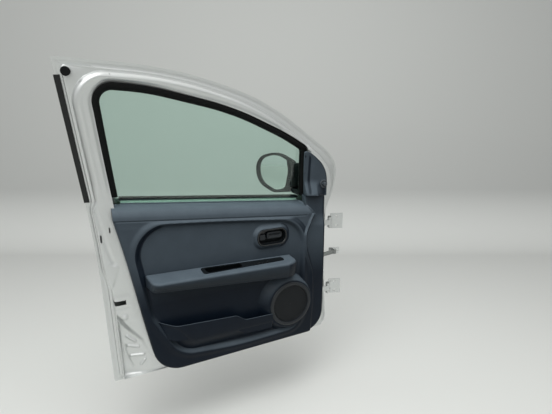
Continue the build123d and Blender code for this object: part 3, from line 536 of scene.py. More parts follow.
finishes = {
    "lacquer": silverLacquer(),
    # Columns: name, dark, light, grain in mm, roughness, grain strength, gloss, tones of painted light
    # the trim's paler tones are painted light, mixed in where faces turn up and above the armrest
    "trim": grained("grainedPolypropylene", "#09111B", "#121D29", 1.1, 0.45, 0.5, 0.16,
                    ("#48525A", "#5A656D")),
    "pod": grained("satinPolypropylene", "#12161A", "#1D2329", 0.8, 0.38, 0.3, 0.4),
    "knob": grained("satinGreyAbs", "#3A4045", "#4C5359", 0.6, 0.28, 0.05),
    "gloss": grained("glossyAbs", "#0E1113", "#14171A", 0.6, 0.17, 0.03),
    "housing": grained("satinAbs", "#07090A", "#0D1012", 0.6, 0.4, 0.2, 0.14),
    # matt vinyl film on the window post
    "film": grained("blackPvcFilm", "#07090A", "#0D0F10", 2.0, 0.34, 0.1, 0.4),
    # the hidden flange, pale and dull: its near-white tones are painted light, since the strip lies in
    # shade behind the glass
    "paintedLitFlange": grained("mattFlangePaintedLight", "#DDE0DE", "#E8EAE8", 3.0, 0.55, 0.05),
    "grille": perforatedSteel(),
    # extruded EPDM: near black and dull, with a thin bloom
    "rubber": clouded("epdmRubber", {"Specular IOR Level": 0.15}, "Noise", 12,
                      [(0.3, "#060707"), (0.75, "#0D0F10")], (0.5, 0.7), {"Detail": 4.0}),
    "glass": tintedGlass(),
    # zinc-plated pressed steel: grey, satin, slightly mottled
    "steel": clouded("platedSteel", {"Metallic": 1.0}, "Voronoi", 3,
                     [(0.0, "#7F8281"), (1.0, "#9A9D9C")], (0.3, 0.45)),
    # second-surface mirror: almost all light back, a trace of haze
    "mirror": clouded("silveredGlass", {"Metallic": 1.0}, "Noise", 40,
                      [(0.2, "#DDE2DF"), (0.8, "#E6EAE7")], (0.01, 0.04)),
}
print("materials made:", len(finishes))


# Pressed steel inner panel

panel = {
    "pitch": 3.2, "frameUp": (640, 120), "lowCrest": 6.0, "frameCrest": 17.0,
    "stepRound": 3.0, "hemDepth": 2.9, "lipInset": 6.5, "faceCorner": 88, "stepCorner": 12,
    "latchShift": 15.0, "latchFrom": (345, 90), "latchTo": (636, 40), "stepShift": 0.62,
    "windowFall": 7.0, "windowEdge": (-13, 13), "frameGroove": 1.6, "frameGrooveHalf": 9.0,
    "well": [(-60, -60, 1), (-60, 300, 1), (10, 282, 30), (56, 211, 0), (96, 166, 20),
             (118, 108, 40), (175, 48, 40), (230, -60, 1)],
    "wellDepth": 25.0, "wellEdge": (-11, 22), "wellFrontShare": 0.35, "wellRear": (-125, 95),
    "wellRim": (0.9, 14.0),
    "ribs": [(48, 181, 73, 158), (49, 145, 82, 136), (56, 104, 97, 103), (86, 66, 100, 82)],
    "ribHalf": 5.2, "ribHeight": 5.0,
    "groove": [(39, 148), (37, 128), (42, 108), (50, 84), (59, 62)],
    "grooveDepth": 3.2, "grooveHalf": 6.0,
    # x, z, radius, height
    "boss": (44, 265, 15.0, 5.5),
    "facet": [(13, 478, 4), (-30, 441, 4), (-30, 380, 4), (15, 376, 4), (42, 449, 8)],
    # tilt of the facet at its top and what is added down its run, then its soft edge
    "facetTop": (478, 1.5), "facetLean": (105, 4.0), "facetEdge": (-3, 12),
    "latchPad": [(-40, 350, 3), (70, 352, 12), (92, 246, 10), (60, 236, 8), (24, 268, 8),
                 (-40, 290, 3)],
    "padHeight": 1.4, "padEdge": (-1, 14), "padFrom": 3.0,
    # x and z span of the way in for the striker, and how far inboard it cuts
    "mouth": (-2.0, 52.0, 312.0, 328.0), "mouthDepth": -44.0, "mouthSnap": 1.7,
    "fold": {"below": 21.0, "half": 5.0, "depth": 2.2, "fromX": 4.0, "toX": 68.0, "fade": 8.0},
    "crease": [(-36, 760), (-14, 640), (8, 520), (24, 462)], "creaseDepth": 2.5, "creaseHalf": 12.0,
    # Columns: x, z, half width, half height
    "slots": [(-7, 552, 2.6, 13), (21, 578, 2.0, 10), (60, 600, 4, 4)],
    "trimHide": [(60, 600, 10), (838, 540, 10), (838, 60, 60), (165, 45, 90), (130, 200, 0),
                 (84, 470, 10)],
}


def rearShift(z):
    # over the latch the face comes closer to the door's rear edge
    return panel["latchShift"] * fade(z, panel["latchFrom"]) * (1 - fade(z, panel["latchTo"]))


def frameRoll(z):
    # share of the window frame, width and height of the rolled crest, height over the landing
    share = fade(z, panel["frameUp"])
    deep = skinY(z) - door["landingDepth"] - innerY(z)
    low = panel["lowCrest"]
    return share, low + (panel["frameCrest"] - low) * share, low + (deep - low) * share, deep


def faceHeight(flat, rim, opening):
    # depth of the pressed face: window frame with a rolled crest, sunk corner and embosses
    x, z = flat[:, 0], flat[:, 1]
    share, crest, roll, _ = frameRoll(z)
    near = depthIn(flat, rim[::3])
    y = innerY(z) + roll * rounding(near / crest)
    y = y + panel["windowFall"] * share * fade(depthIn(flat, opening[::2]), panel["windowEdge"])
    groove = ridge(near - panel["frameCrest"] - 1, panel["frameGrooveHalf"])
    y = y - panel["frameGroove"] * share * groove
    well, _ = trace(panel["well"], 8)
    front, (shallower, width) = panel["wellFrontShare"], panel["wellRim"]
    sunk = fade(depthIn(flat, well), panel["wellEdge"]) * (1 - shallower * rounding(near / width))
    y = y + panel["wellDepth"] * sunk * (front + (1 - front) * fade(-x, panel["wellRear"]))
    for x0, z0, x1, z1 in panel["ribs"]:
        gap = lineGap(flat, [(x0, z0), (x1, z1)])
        y = y - panel["ribHeight"] * ease(1.25 - gap / panel["ribHalf"])
    y = y + panel["grooveDepth"] * ridge(lineGap(flat, panel["groove"]), panel["grooveHalf"])
    bossX, bossZ, bossR, bossH = panel["boss"]
    y = y - bossH * ridge(np.hypot(x - bossX, z - bossZ), bossR)
    facet, _ = trace(panel["facet"], 6)
    (topZ, least), (drop, more) = panel["facetTop"], panel["facetLean"]
    tilt = least + more * np.clip((topZ - z) / drop, 0, 1)
    y = y - tilt * fade(depthIn(flat, facet), panel["facetEdge"])
    pad, _ = trace(panel["latchPad"], 6)
    y = y - panel["padHeight"] * fade(depthIn(flat, pad), panel["padEdge"]) * (near >= panel["padFrom"])
    fold = panel["fold"]
    mouthMid = (panel["mouth"][2] + panel["mouth"][3]) / 2
    across = ease((fold["toX"] - x) / fold["fade"]) * ease((x - fold["fromX"]) / fold["fade"])
    y = y + fold["depth"] * ridge(z - mouthMid + fold["below"], fold["half"]) * across
    # long soft crease that runs down from the frame beside the trim's edge
    return y + panel["creaseDepth"] * ridge(lineGap(flat, panel["crease"]), panel["creaseHalf"])


def cutMouth(verts, faces):
    # open the striker's way through wall and face, with straight edges
    x0, x1, z0, z1 = panel["mouth"]
    middle = verts[np.array([f[:3] for f in faces])].mean(axis=1)
    inside = (middle[:, 0] < x1) & (middle[:, 2] > z0) & (middle[:, 2] < z1)
    inside &= middle[:, 1] < panel["mouthDepth"]
    kept = [f for f, gone in zip(faces, inside) if not gone]
    close = verts[:, 1] < panel["mouthDepth"] - 3
    for edge in (z0, z1):
        snap = close & (np.abs(verts[:, 2] - edge) < panel["mouthSnap"]) & (verts[:, 0] < x1)
        verts[snap, 2] = edge
    return verts, kept


def pressedPanel():
    outline, step, landing = door["outline"], panel["pitch"], door["landingDepth"]
    faceEdge = inset(outline, door["landingInset"], {2: panel["faceCorner"]}, door["faceInsets"])
    # one plan that gives both outlines as many samples as the longer one needs
    plans = zip(trace(outline, step)[1], trace(faceEdge, step)[1])
    plan = [(max(a[0], b[0]), max(a[1], b[1])) for a, b in plans]
    base, _ = trace(outline, step, plan)
    edge, _ = trace(faceEdge, step, plan)
    stepRing, _ = trace(inset(outline, door["flange"], {2: panel["stepCorner"]}), step, plan)
    lip, _ = trace(inset(outline, panel["lipInset"]), step, plan)
    for ring, share in ((edge, 1.0), (stepRing, panel["stepShift"])):
        rear = (base[:, 0] < 20) & (base[:, 1] > 300) & (base[:, 1] < 700)
        ring[:, 0] -= np.where(rear, rearShift(ring[:, 1]) * share, 0)
    toward = np.roll(edge, -1, axis=0) - np.roll(edge, 1, axis=0)
    normal = np.stack([toward[:, 1], -toward[:, 0]], axis=1)
    normal /= np.linalg.norm(normal, axis=1)[:, None]
    outward = stepRing - lip
    outward /= np.maximum(np.linalg.norm(outward, axis=1)[:, None], 1e-6)
    # hemmed flange, rounded step, landing and the wall up to the face
    r, hem = panel["stepRound"], panel["hemDepth"]
    rows = [upright(lip, skinY(lip[:, 1]) - hem)]
    for back, down in ((r, 0.0), (0.9, 0.4), (0.0, 1.4)):
        ring = stepRing - outward * back
        rows.append(upright(ring, skinY(ring[:, 1]) - hem - down * r))
    for ahead, up in ((0.0, 1.2), (0.9, 0.25), (r, 0.0)):
        ring = stepRing + outward * ahead * 0.5
        rows.append(upright(ring, skinY(ring[:, 1]) - landing + up * r))
    foot = edge - normal * 2.5
    rows.append(upright(foot, skinY(foot[:, 1]) - landing))
    wallY = skinY(edge[:, 1]) - landing
    rows.append(upright(edge - normal * 0.6, wallY - 0.8))
    _, crest, roll, deep = frameRoll(edge[:, 1])
    for share in np.linspace(0.04, 0.985, 9):
        rows.append(upright(edge, np.minimum(wallY - (deep - roll) * share, wallY - 1.6)))
    for share in (0.0, 0.012, 0.05, 0.11, 0.2, 0.32, 0.5):
        ring = edge + normal * (crest * share)[:, None]
        rows.append(upright(ring, innerY(ring[:, 1]) + roll * rounding(np.full(len(ring), share))))
    rim = rows[-1][:, [0, 2]]
    opening, _ = trace(window(door["runWidth"], 42.0), step)
    holes = [opening, trace(panel["trimHide"], 6)[0]]
    for x, z, halfW, halfH in panel["slots"]:
        holes.append(trace(oblong(x, z, halfW, halfH, min(halfW, halfH) - 0.2), 2.5)[0])
    flat, tris = patch(rim, panel["pitch"], holes)
    surface, triangles = lift(flat, tris, lambda p: faceHeight(p, edge, opening))
    # the sweep's last row takes the face's own heights, so that both weld
    rows[-1] = upright(rim, faceHeight(rim, edge, opening))
    wall = cutMouth(*strip(rows))
    face = cutMouth(surface, triangles)
    # reveal round the window opening, back to the rubber channel
    reveal = strip([upright(opening, faceHeight(opening, edge, opening)),
                    upright(opening, skinY(opening[:, 1]) - 30)])
    return piece("pressedInnerPanel", [wall, face, reveal], "lacquer", "door",
                 ["door_inner_panel"], crease=50)


pressedPanel()
print("pressed panel made")


# Trim panel

trim = {
    "pitch": 2.9, "faceY": -109.0, "backY": -85.6, "rearX": 31.0, "frontX": 856.0, "bottomZ": 25.0,
    "edgeRound": 9.0, "edgeRings": (0.7, 1.9, 3.6, 6.0, 9.0),
    "recessDepth": 10.0, "recessEdge": (-3, 15), "bead": 5.0, "beadHalf": 24.0, "beadBelow": (76, 12),
    "recess": [(73, 590, 104), (420, 567, 0), (747, 530, 115), (734, 68, 66), (440, 62, 0),
               (222, 86, 110), (128, 250, 90)],
    "frontZone": [(780, -40, 1), (794, 200, 0), (787, 300, 60), (754, 405, 60), (752, 470, 50),
                  (778, 524, 60), (803, 572, 12), (803, 760, 1), (960, 760, 1), (960, -40, 1)],
    "zoneDepth": 21.0, "zoneStep": 7.0, "zoneRun": 64.0, "zoneEdge": (-1, 9), "zoneCrest": 7.0,
    "crestEdge": (-10, 9), "crestUp": (190, 120), "crestStop": (-6, 14),
    "ledgeDrop": 72.0, "cove": 0.9, "coveDrop": 86.0, "coveHalf": 22.0, "coveEdge": (2, 12),
    # the riser beside the window lies this much deeper, and further over its run to the front
    "riserX": 757.0, "riserUp": 1.7, "riserDeep": 14.0, "riserLean": (90.0, 6.0),
    "riserFade": (-130, 64), "riserFoot": -66.0,
    # Columns: y, z from the belt
    "ledge": [(-109, -72), (-108, -62), (-105.5, -54), (-101, -45), (-94, -38), (-84, -33.5),
              (-70, -30), (-58, -27.5), (-54, -27.2), (-52.4, -28.5), (-52, -34)],
    "ledgeFrontX": 801.0, "ledgeSlant": 44.0, "ledgeCrest": 4.0,
    # Columns: x from the ledge's front end, share of the crest there
    "ledgeEnd": [(-10, 0.0), (-8, 0.12), (-6, 0.42), (-4, 0.74), (-2.2, 0.95), (-0.8, 1.0),
                 (0.6, 0.8), (1.6, 0.3), (2.6, -1.0), (3.2, -4.0)],
}
bezel = {"x": 600.0, "z": 480.0, "halfW": 64.0, "halfH": 34.0, "wall": 7.0, "rimY": -115.5,
         "floorY": -89.5, "domeMargin": 15.0, "domeY": -111.0, "domeEdge": (-1, 15)}
speaker = {"x": 676.0, "z": 190.0, "ringR": 92.0, "grilleR": 78.0, "podR": 98.0, "baseR": 122.0,
           "lean": 16.0, "sink": 4.0, "podY": -128.0, "rise": 29.0, "roundShare": 0.65}


def podShare(x, z):
    # 0 on the recess floor, 1 on the speaker's face, between them along the leaning shoulder
    low, high = np.zeros(len(x)), np.ones(len(x))
    for _ in range(18):
        t = (low + high) / 2
        away = np.hypot(x - (speaker["x"] - speaker["lean"] * (1 - t)),
                        z - (speaker["z"] + speaker["sink"] * (1 - t)))
        inside = away < speaker["baseR"] - (speaker["baseR"] - speaker["podR"]) * t
        low, high = np.where(inside, t, low), np.where(inside, high, t)
    return low


def trimHeight(flat, rim, recess, zone, dome):
    # depth of the trim's face: sunk centre, front zone, handle dome and speaker shoulder
    x, z = flat[:, 0], flat[:, 1]
    overBelt = z - beltZ(x)
    floorY = trim["faceY"] + trim["recessDepth"]
    inRecess, inZone = depthIn(flat, recess), depthIn(flat, zone)
    sunk = trim["recessDepth"] * fade(inRecess, trim["recessEdge"])
    fall = fade(inZone, trim["zoneEdge"])
    further = (trim["zoneDepth"] - trim["zoneStep"]) * np.clip(inZone / trim["zoneRun"], 0, 1)
    y = trim["faceY"] + np.maximum(sunk, trim["zoneStep"] * fall + further)
    # bead round the sunk centre, and a shallow cove below the ledge
    bead = ridge(inRecess + 6, trim["beadHalf"]) * fade(-overBelt, trim["beadBelow"])
    cove = ridge(overBelt + trim["coveDrop"], trim["coveHalf"]) * fade(-inRecess, trim["coveEdge"])
    y = y + (trim["cove"] * cove - trim["bead"] * bead) * (1 - fall)
    # raised line along the front zone, faded out towards the foot and the sunk centre
    crest = fade(inZone, trim["crestEdge"]) * (1 - fall) * fade(z, trim["crestUp"])
    y = y - trim["zoneCrest"] * crest * (1 - fade(inRecess, trim["crestStop"]))
    y = y + fade(depthIn(flat, dome), bezel["domeEdge"]) * (bezel["domeY"] - floorY)
    share = podShare(x, z)
    soft = (1 - speaker["roundShare"]) * share + speaker["roundShare"] * ease(share)
    y = np.minimum(y, floorY - speaker["rise"] * soft)
    # the front zone rises into the flat riser beside the window
    run, lean = trim["riserLean"]
    riserY = trim["faceY"] + trim["riserDeep"] + lean * np.clip((x - trim["riserX"]) / run, 0, 1)
    onRiser = (x > trim["riserX"] - 1) & (overBelt > trim["riserFoot"])
    share = np.where(onRiser, 1, fall * fade(overBelt, trim["riserFade"]))
    y = y + (np.maximum(y, riserY) - y) * share
    # the edge rolls back, except where the ledge takes over
    near = depthIn(flat, rim[::3])
    top = (overBelt > -trim["ledgeDrop"] - 2) & (x < trim["riserX"]) & (near < trim["edgeRound"])
    drop = trim["edgeRound"] * rounding(near / trim["edgeRound"])
    return np.minimum(y + np.where(top, 0, drop), trim["backY"] - 0.5)


def trimOutline():
    rearX, riserX, frontX, bottomZ = (trim[k] for k in ("rearX", "riserX", "frontX", "bottomZ"))
    up = trim["riserUp"]
    return [(rearX, beltZ(rearX) - trim["ledgeDrop"], 1.5),
            (riserX, beltZ(riserX) - trim["ledgeDrop"], 1.5),
            (riserX, beltZ(riserX) + up, 4), (frontX, beltZ(frontX) + up, 4), (frontX, 250, 0),
            (frontX - 4, bottomZ, 85), (146, bottomZ, 105), (112, 190, 0), (60, 480, 0)]


def beltLedge():
    # ledge over the belt: one section carried along it, with a slanted front end that ends in
    # a raised crest
    section = np.array(trim["ledge"], float)
    tangent = np.gradient(section, axis=0)
    outward = np.stack([-tangent[:, 1], tangent[:, 0]], axis=1) / np.hypot(*tangent.T)[:, None]
    upShare = np.clip((section[:, 1] + trim["ledgeDrop"]) / 45, 0, 1)
    rearX, frontX = trim["rearX"], trim["ledgeFrontX"]
    lastX = frontX - trim["ledgeSlant"] * upShare
    steps = [(x, 0.0) for x in np.arange(rearX, frontX - 14, 6.0)]
    steps += [(frontX + ahead, proud) for ahead, proud in trim["ledgeEnd"]]
    columns = []
    for along, proud in steps:
        x = rearX + (lastX - rearX) * (along - rearX) / (frontX - rearX)
        y, up = (section + outward * trim["ledgeCrest"] * proud).T
        columns.append(np.stack([x, y, beltZ(x) + up], axis=1))
    parts = [strip(columns, closed=False)]
    for column in (columns[0], columns[-1]):
        (x0, _, z0), (x1, _, z1) = column[0], column[-1]
        back = [(x1, trim["backY"], z1 - 8), (x0, trim["backY"], z0)]
        parts.append(lid(np.concatenate([column, back])))
    return parts


def trimPanel():
    corners, pitch = trimOutline(), trim["pitch"]
    rim, plan = trace(corners, pitch)
    recess, _ = trace(trim["recess"], 7)
    zone, _ = trace(trim["frontZone"], 7)
    bezelX, bezelZ, halfW, halfH = (bezel[k] for k in ("x", "z", "halfW", "halfH"))
    more, less = bezel["domeMargin"], 1.5
    dome, _ = trace(oblong(bezelX, bezelZ, halfW + more, halfH + more, 44), 5)
    cup, _ = trace(oblong(bezelX, bezelZ, halfW - less, halfH - less, 29), 3)
    hole = circle(speaker["x"], speaker["z"], speaker["ringR"] - 3)

    def height(points):
        return trimHeight(points, rim, recess, zone, dome)

    rings = [inner(corners, d, pitch, plan) for d in trim["edgeRings"]]
    flat, tris = patch(rings[-1], pitch, [cup, hole])
    edge = [upright(rim, trim["backY"])] + [upright(ring, height(ring)) for ring in [rim] + rings]
    # the riser's return towards the glass
    riserX, zoneY = trim["riserX"], trim["faceY"] + 13
    side = [(11, -52), (0, zoneY + 3), (0.6, zoneY + 0.8), (3, zoneY - 0.1)]
    rows = [np.array([(riserX + x, y, beltZ(riserX) + up) for x, y in side])
            for up in (-40, trim["riserUp"])]
    ledge, *ends = beltLedge()
    parts = [lift(flat, tris, height), strip(edge), ledge, strip(rows, closed=False)] + ends
    return piece("trimPanel", parts, "trim", "door", ["trim_panel"], crease=42)


trimPanel()
print("trim panel made")


# Armrest with its switch plate and pull cup

rest = {
    "x0": 118.0, "x1": 704.0, "topZ": 412.0, "backY": -99.3, "reach": 172.0, "fall": 0.03,
    "rearHeight": 50.0, "lowFall": 0.083, "tilt": 12.0 / 69.0, "edge": 9.0, "lowEdge": 6.0,
    "under": 15.0,
    # the front end slopes down: x and z where that begins, and its slope
    "nose": (680.0, 392.0, 1.9), "bellyTilt": 0.05,
    "plate": [(190, -12, 12), (520, -18, 12), (520, -44, 12), (190, -56, 12)], "plateUp": 0.5,
    "cup": [(200, -18, 10), (350, -21, 10), (338, -46, 10), (208, -50, 10)], "cupDepth": 42.0,
    "switchU": 402.0, "switchPitch": 34.0, "switchV": -31.0, "switchW": 26.0, "switchH": 20.0,
    "switchSink": -3.0,
}


def restPlane(x, y):
    return rest["topZ"] - rest["fall"] * (x - rest["x0"]) + (y - rest["backY"]) * rest["tilt"]


def restTop(x, y):
    noseX, noseZ, slope = rest["nose"]
    return np.minimum(restPlane(x, y), noseZ - (x - noseX) * slope)


def restLow(x, y):
    low = rest["topZ"] - rest["rearHeight"] - rest["lowFall"] * (x - rest["x0"])
    return low + (y + rest["reach"]) * rest["bellyTilt"]


def onRest(flat, w):
    # points of the armrest's top, u along it and v outboard, w above it
    x = rest["x0"] + flat[:, 0]
    y = rest["backY"] + 0.3 + flat[:, 1] * 0.985
    w = np.broadcast_to(w, len(x)) / math.hypot(1, rest["tilt"])
    return np.stack([x, y - w * rest["tilt"], restPlane(x, y) + w], axis=1)


def turnedRound(points):
    # an outline given the other way round, as inset() wants it clockwise
    return list(reversed(points))


def underCut(y, share):
    # the front rolls back under the arm towards its lower edge
    return y + rest["under"] * (1 - share) ** 1.6 * np.clip((-y - 100) / 72, 0, 1)


def armrest():
    step, front = 4, -rest["reach"] - 1
    plan2d = turnedRound([(rest["x0"], rest["backY"], 1), (rest["x0"] + 13, front, 30),
                          (rest["x1"] - 16, front, 60), (rest["x1"], rest["backY"], 1)])
    outer, plan = trace(plan2d, step)
    rows = []
    for low, left in quarter(4):
        x, y = inner(plan2d, rest["lowEdge"] * left, step, plan).T
        rows.append(np.stack([x, underCut(y, 0), restLow(x, y) + rest["lowEdge"] * low], axis=1))
    lowerZ = rows[-1][:, 2]
    x, y = outer.T
    topEdge = restTop(x, y) - rest["edge"]
    for share in (0.15, 0.3, 0.45, 0.6, 0.75, 0.9):
        rows.append(np.stack([x, underCut(y, share), lowerZ + (topEdge - lowerZ) * share], axis=1))
    for drawn, left in quarter(5):
        x, y = inner(plan2d, rest["edge"] * drawn, step, plan).T
        rows.append(np.stack([x, y, restTop(x, y) - rest["edge"] * left], axis=1))
    plate, _ = trace(inset(turnedRound(rest["plate"]), -0.6), 3)
    flat, tris = patch(rows[-1][:, :2], 6.0, [onRest(plate, 0.0)[:, :2]])
    top = np.stack([*flat.T, restTop(*flat.T)], axis=1), tris.tolist()
    well = strip([onRest(plate, w) for w in (0.0, rest["switchSink"])])
    flat, tris = patch(inner(plan2d, rest["lowEdge"], step, plan), 12.0)
    x, y = flat.T
    belly = np.stack([x, underCut(y, 0), restLow(x, y)], axis=1), tris.tolist()
    return piece("armrestBody", [strip(rows), top, well, belly], "trim", "door", ["armrest"], crease=50)


def switchPlate():
    plate, cup = turnedRound(rest["plate"]), turnedRound(rest["cup"])
    up, sunk, edge, gap = rest["plateUp"], rest["switchSink"], 0.8, 0.6
    outer, plan = trace(plate, 3)
    face = inner(plate, edge, 3, plan)
    rows = [onRest(outer, sunk), onRest(outer, up - edge), onRest(face, up)]
    cupRim, cupPlan = trace(cup, 2.5)
    wells = []
    for i in range(2):
        u = rest["switchU"] + i * rest["switchPitch"]
        wells.append(trace(oblong(u, rest["switchV"], rest["switchW"] / 2 + gap,
                                  rest["switchH"] / 2 + gap, 2), 3)[0])
    flat, tris = patch(face, 5.0, [cupRim] + wells)
    walls = [onRest(cupRim, up)]
    for inward, w in ((0.6, up - 0.4), (1.2, up - 2.0), (3, -20.0), (6, -36.0),
                      (12, 1 - rest["cupDepth"]), (13, -rest["cupDepth"])):
        walls.append(onRest(inner(cup, inward, 2.5, cupPlan), w))
    parts = [strip(rows), (onRest(flat, up), tris.tolist()), strip(walls), lid(walls[-1])]
    for loop in wells:
        parts += [strip([onRest(loop, up), onRest(loop, sunk)]), lid(onRest(loop, sunk))]
    return piece("switchPlate", parts, "gloss", "door", ["switch_plate"])


def windowSwitch(index):
    # rocker: a dished front half and a raised rear lip. Columns: u from its middle, height
    side = [(-13, -2.5), (-13, 0.6), (-12.2, 1.5), (-9, 1.2), (-5, 0.7), (-1, 0.6), (3, 1.6), (7, 3.2),
            (10, 4.2), (12, 4.4), (13, 3.6), (13, -2.5)]
    u0 = rest["switchU"] + index * rest["switchPitch"]
    rows = []
    across = ((-10, 0.9), (-9.6, 0.25), (-8.6, 0.0), (0, 0.0), (8.6, 0.0), (9.6, 0.25), (10, 0.9))
    for v, drop in across:
        rows.append(np.concatenate([onRest(np.array([[u0 + a, rest["switchV"] + v]]),
                                           w - (drop if w > 0 else 0)) for a, w in side]))
    parts = [strip(rows, closed=False), lid(rows[0]), lid(rows[-1])]
    return piece("windowSwitch%d" % (index + 1), parts, "gloss", "door",
                 ["window_switch_%d" % (index + 1)])


armrest()
switchPlate()
for index in range(2):
    windowSwitch(index)
print("armrest made")


# Map pocket, speaker and inner handle

pocket = {
    "outline": [(142, 231, 4), (205, 212, 60), (436, 198, 24), (474, 172, 24), (592, 168, 4),
                (596, 80, 8), (243, 86, 84)],
    # sides along which the wall meets the recess floor
    "closing": [(8, 420, 1), (700, 420, 1), (700, 80, 1), (243, 86, 84)],
    "floorY": -99.3, "wall": 3.2, "side": 58.0, "bottomZ": 70.0, "height": 150.0, "bulge": 36.0,
    "lipInset": 1.6, "lipDown": 60.0,
    # Columns: inset, depth behind the face
    "lip": [(0.9, 0.1), (0.3, 0.6), (0.0, 1.5), (0.25, 2.4), (0.9, 3.0), (2.4, 3.2)],
}


def pocketHeight(points, closing):
    # leaning face: quarter of an ellipse from the recess floor to the lip, closed at its ends
    t = np.clip((points[:, 1] - pocket["bottomZ"]) / pocket["height"], 0, 1)
    out = pocket["bulge"] * np.sqrt(np.maximum(0, 1 - (1 - t) ** 2.2))
    rise = np.sin(np.clip(depthIn(points, closing) / pocket["side"], 0, 1) * np.pi / 2)
    return pocket["floorY"] - out * rise


def mapPocket():
    outline, step = pocket["outline"], 3.0
    rim, plan = trace(outline, step)
    atLip = rim[:, 1] > 160 + np.clip((470 - rim[:, 0]) / 320, 0, 1) * 20
    closing, _ = trace(pocket["closing"], 6)
    edge = inner(outline, pocket["lipInset"], step, plan)
    flat, tris = patch(edge, 3.6)
    surface = lift(flat, tris, lambda points: pocketHeight(points, closing))
    edgeY = pocketHeight(edge, closing)
    rows = [upright(edge, edgeY)]
    for inward, back in pocket["lip"]:
        y = np.minimum(edgeY + back, pocket["floorY"])
        rows.append(upright(inner(outline, inward, step, plan), y))
    # the wall's back goes down behind the lip
    deepY = np.minimum(edgeY + pocket["wall"] + np.where(atLip, 4, 0), pocket["floorY"])
    deep = upright(inner(outline, 2.4, step, plan), deepY)
    deep[:, 2] -= np.where(atLip, pocket["lipDown"], 0)
    rows.append(deep)
    return piece("mapPocketWall", [surface, strip(rows)], "trim", "door", ["map_pocket"], crease=60)


def speakerParts():
    # rounded ring, and a grille domed within its turned-in rim. Columns: radius, y
    centre = (speaker["x"], 0, speaker["z"])
    outer, r, y = speaker["ringR"], speaker["grilleR"], speaker["podY"]
    ring = [(outer + 1.5, y + 6), (outer + 1.2, y - 0.2), (outer, y - 1.8), (outer - 2.4, y - 2.8),
            (outer - 6, y - 3.1), (r + 3, y - 2.6), (r + 1.2, y - 1.6), (r + 0.5, y + 0.5),
            (r + 0.5, y + 8)]
    piece("speakerRing", [turned(ring, centre, 96)], "pod", "door", ["speaker_ring"])
    dish = [(r, y + 8), (r, y + 1.4), (r - 1, y + 0.6), (r - 2.4, y + 1.2), (r - 4, y + 3.2)]
    domed = [(away, 1.2 + 2.2 * (away / 70) ** 2) for away in (70, 60, 50, 40, 30, 20, 10, 0.4)]
    dish += [(away, y + deep) for away, deep in domed]
    piece("speakerGrille", [turned(dish, centre, 96)], "grille", "door", ["speaker_grille"])


def innerHandle():
    x, z, wall, floorY = bezel["x"], bezel["z"], bezel["wall"], bezel["floorY"]
    outline = oblong(x, z, bezel["halfW"], bezel["halfH"], bezel["halfH"] - 3)
    plan, rimY, rows = trace(outline, 3)[1], bezel["rimY"], []
    for inward, y in ((0, rimY + 17), (0, rimY + 4), (0.4, rimY + 2), (1.4, rimY + 0.7), (3, rimY),
                      (4.6, rimY + 0.4), (6, rimY + 1.6), (wall, rimY + 4), (wall + 1.5, rimY + 16),
                      (wall + 3, floorY + 2), (wall + 6, floorY)):
        rows.append(upright(inner(outline, inward, 3, plan), y))
    piece("handleBezel", [strip(rows), lid(rows[-1])], "gloss", "door", ["inner_handle_bezel"])
    lever = [(x - 20, z - 10, 6), (x - 20, z + 19, 9), (x + 49, z + 19, 16), (x + 49, z - 10, 12)]
    rows, plan = tablet(lever, floorY - 0.5, -105.0, 4), trace(lever, 3)[1]
    # finger dish in the lever's face
    for inward, y in ((6.5, -105.6), (8.5, -104.6), (11, -101.5), (13.5, -100.2)):
        rows.append(upright(inner(lever, inward, 3, plan), y))
    piece("pullLever", [strip(rows), lid(rows[-1])], "pod", "door", ["inner_handle_lever"])
    rows = tablet(oblong(x - 38, z, 13.5, 12, 6), floorY - 0.5, -103.4, 3.5)
    piece("lockTab", [strip(rows), lid(rows[-1])], "pod", "door", ["inner_lock_tab"])


mapPocket()
speakerParts()
innerHandle()
print("pocket, speaker and inner handle made")


# Rubbers round the glass

# Columns: how far outside the glass opening's edge, depth behind the skin's outer face
runSection = [(21.6, 29), (21.7, 34), (20.5, 36.2), (17.5, 37), (13, 36.6), (8, 35), (4, 32), (1.2, 28),
              (0.2, 25), (1.5, 23.6), (9, 23.5), (9, 19.6), (1.5, 19.4), (0.2, 17.5), (1.4, 12), (4, 6),
              (8, 2.2), (14, 1.8)]


def glassRun():
    step, below, rows = 4, 4, []
    plan = trace(window(0.01, below), step, closed=False)[1]
    for grow, depth in runSection:
        ring, _ = trace(window(grow, below), step, plan, closed=False)
        rows.append(upright(ring, skinY(ring[:, 1]) - depth))
    return piece("glassRunRubber", [strip(rows, closed=False)], "rubber", "door", ["glass_run_seal"])


glassRun()
print("rubbers made")


# Sail cover and mirror control

sail = {
    # upper edge from the riser and the belt. Columns: x, z, corner radius
    "edge": [(-11, 181.5, 8), (15, 175.5, 0), (43, 156.5, 0), (78, 127.5, 0), (99, 92.5, 0),
             (107, 57.5, 0)],
    "thick": 6.0, "round": 3.5, "swell": 20.0, "swellUp": 70.0, "swellEnd": (806.0, 50.0),
    "swellCut": 0.9, "flute": 2.2, "fluteX": 782.0, "fluteHalf": 16.0, "fluteEdge": 12.0,
    "knobX": 843.0, "knobZ": 667.0,
}


def swell(x, z):
    # the cover comes forward at its foot to meet the trim
    low = ease((beltZ(x) + sail["swellUp"] - z) / sail["swellUp"])
    return sail["swell"] * low * (1 - sail["swellCut"] * fade(x, sail["swellEnd"]))


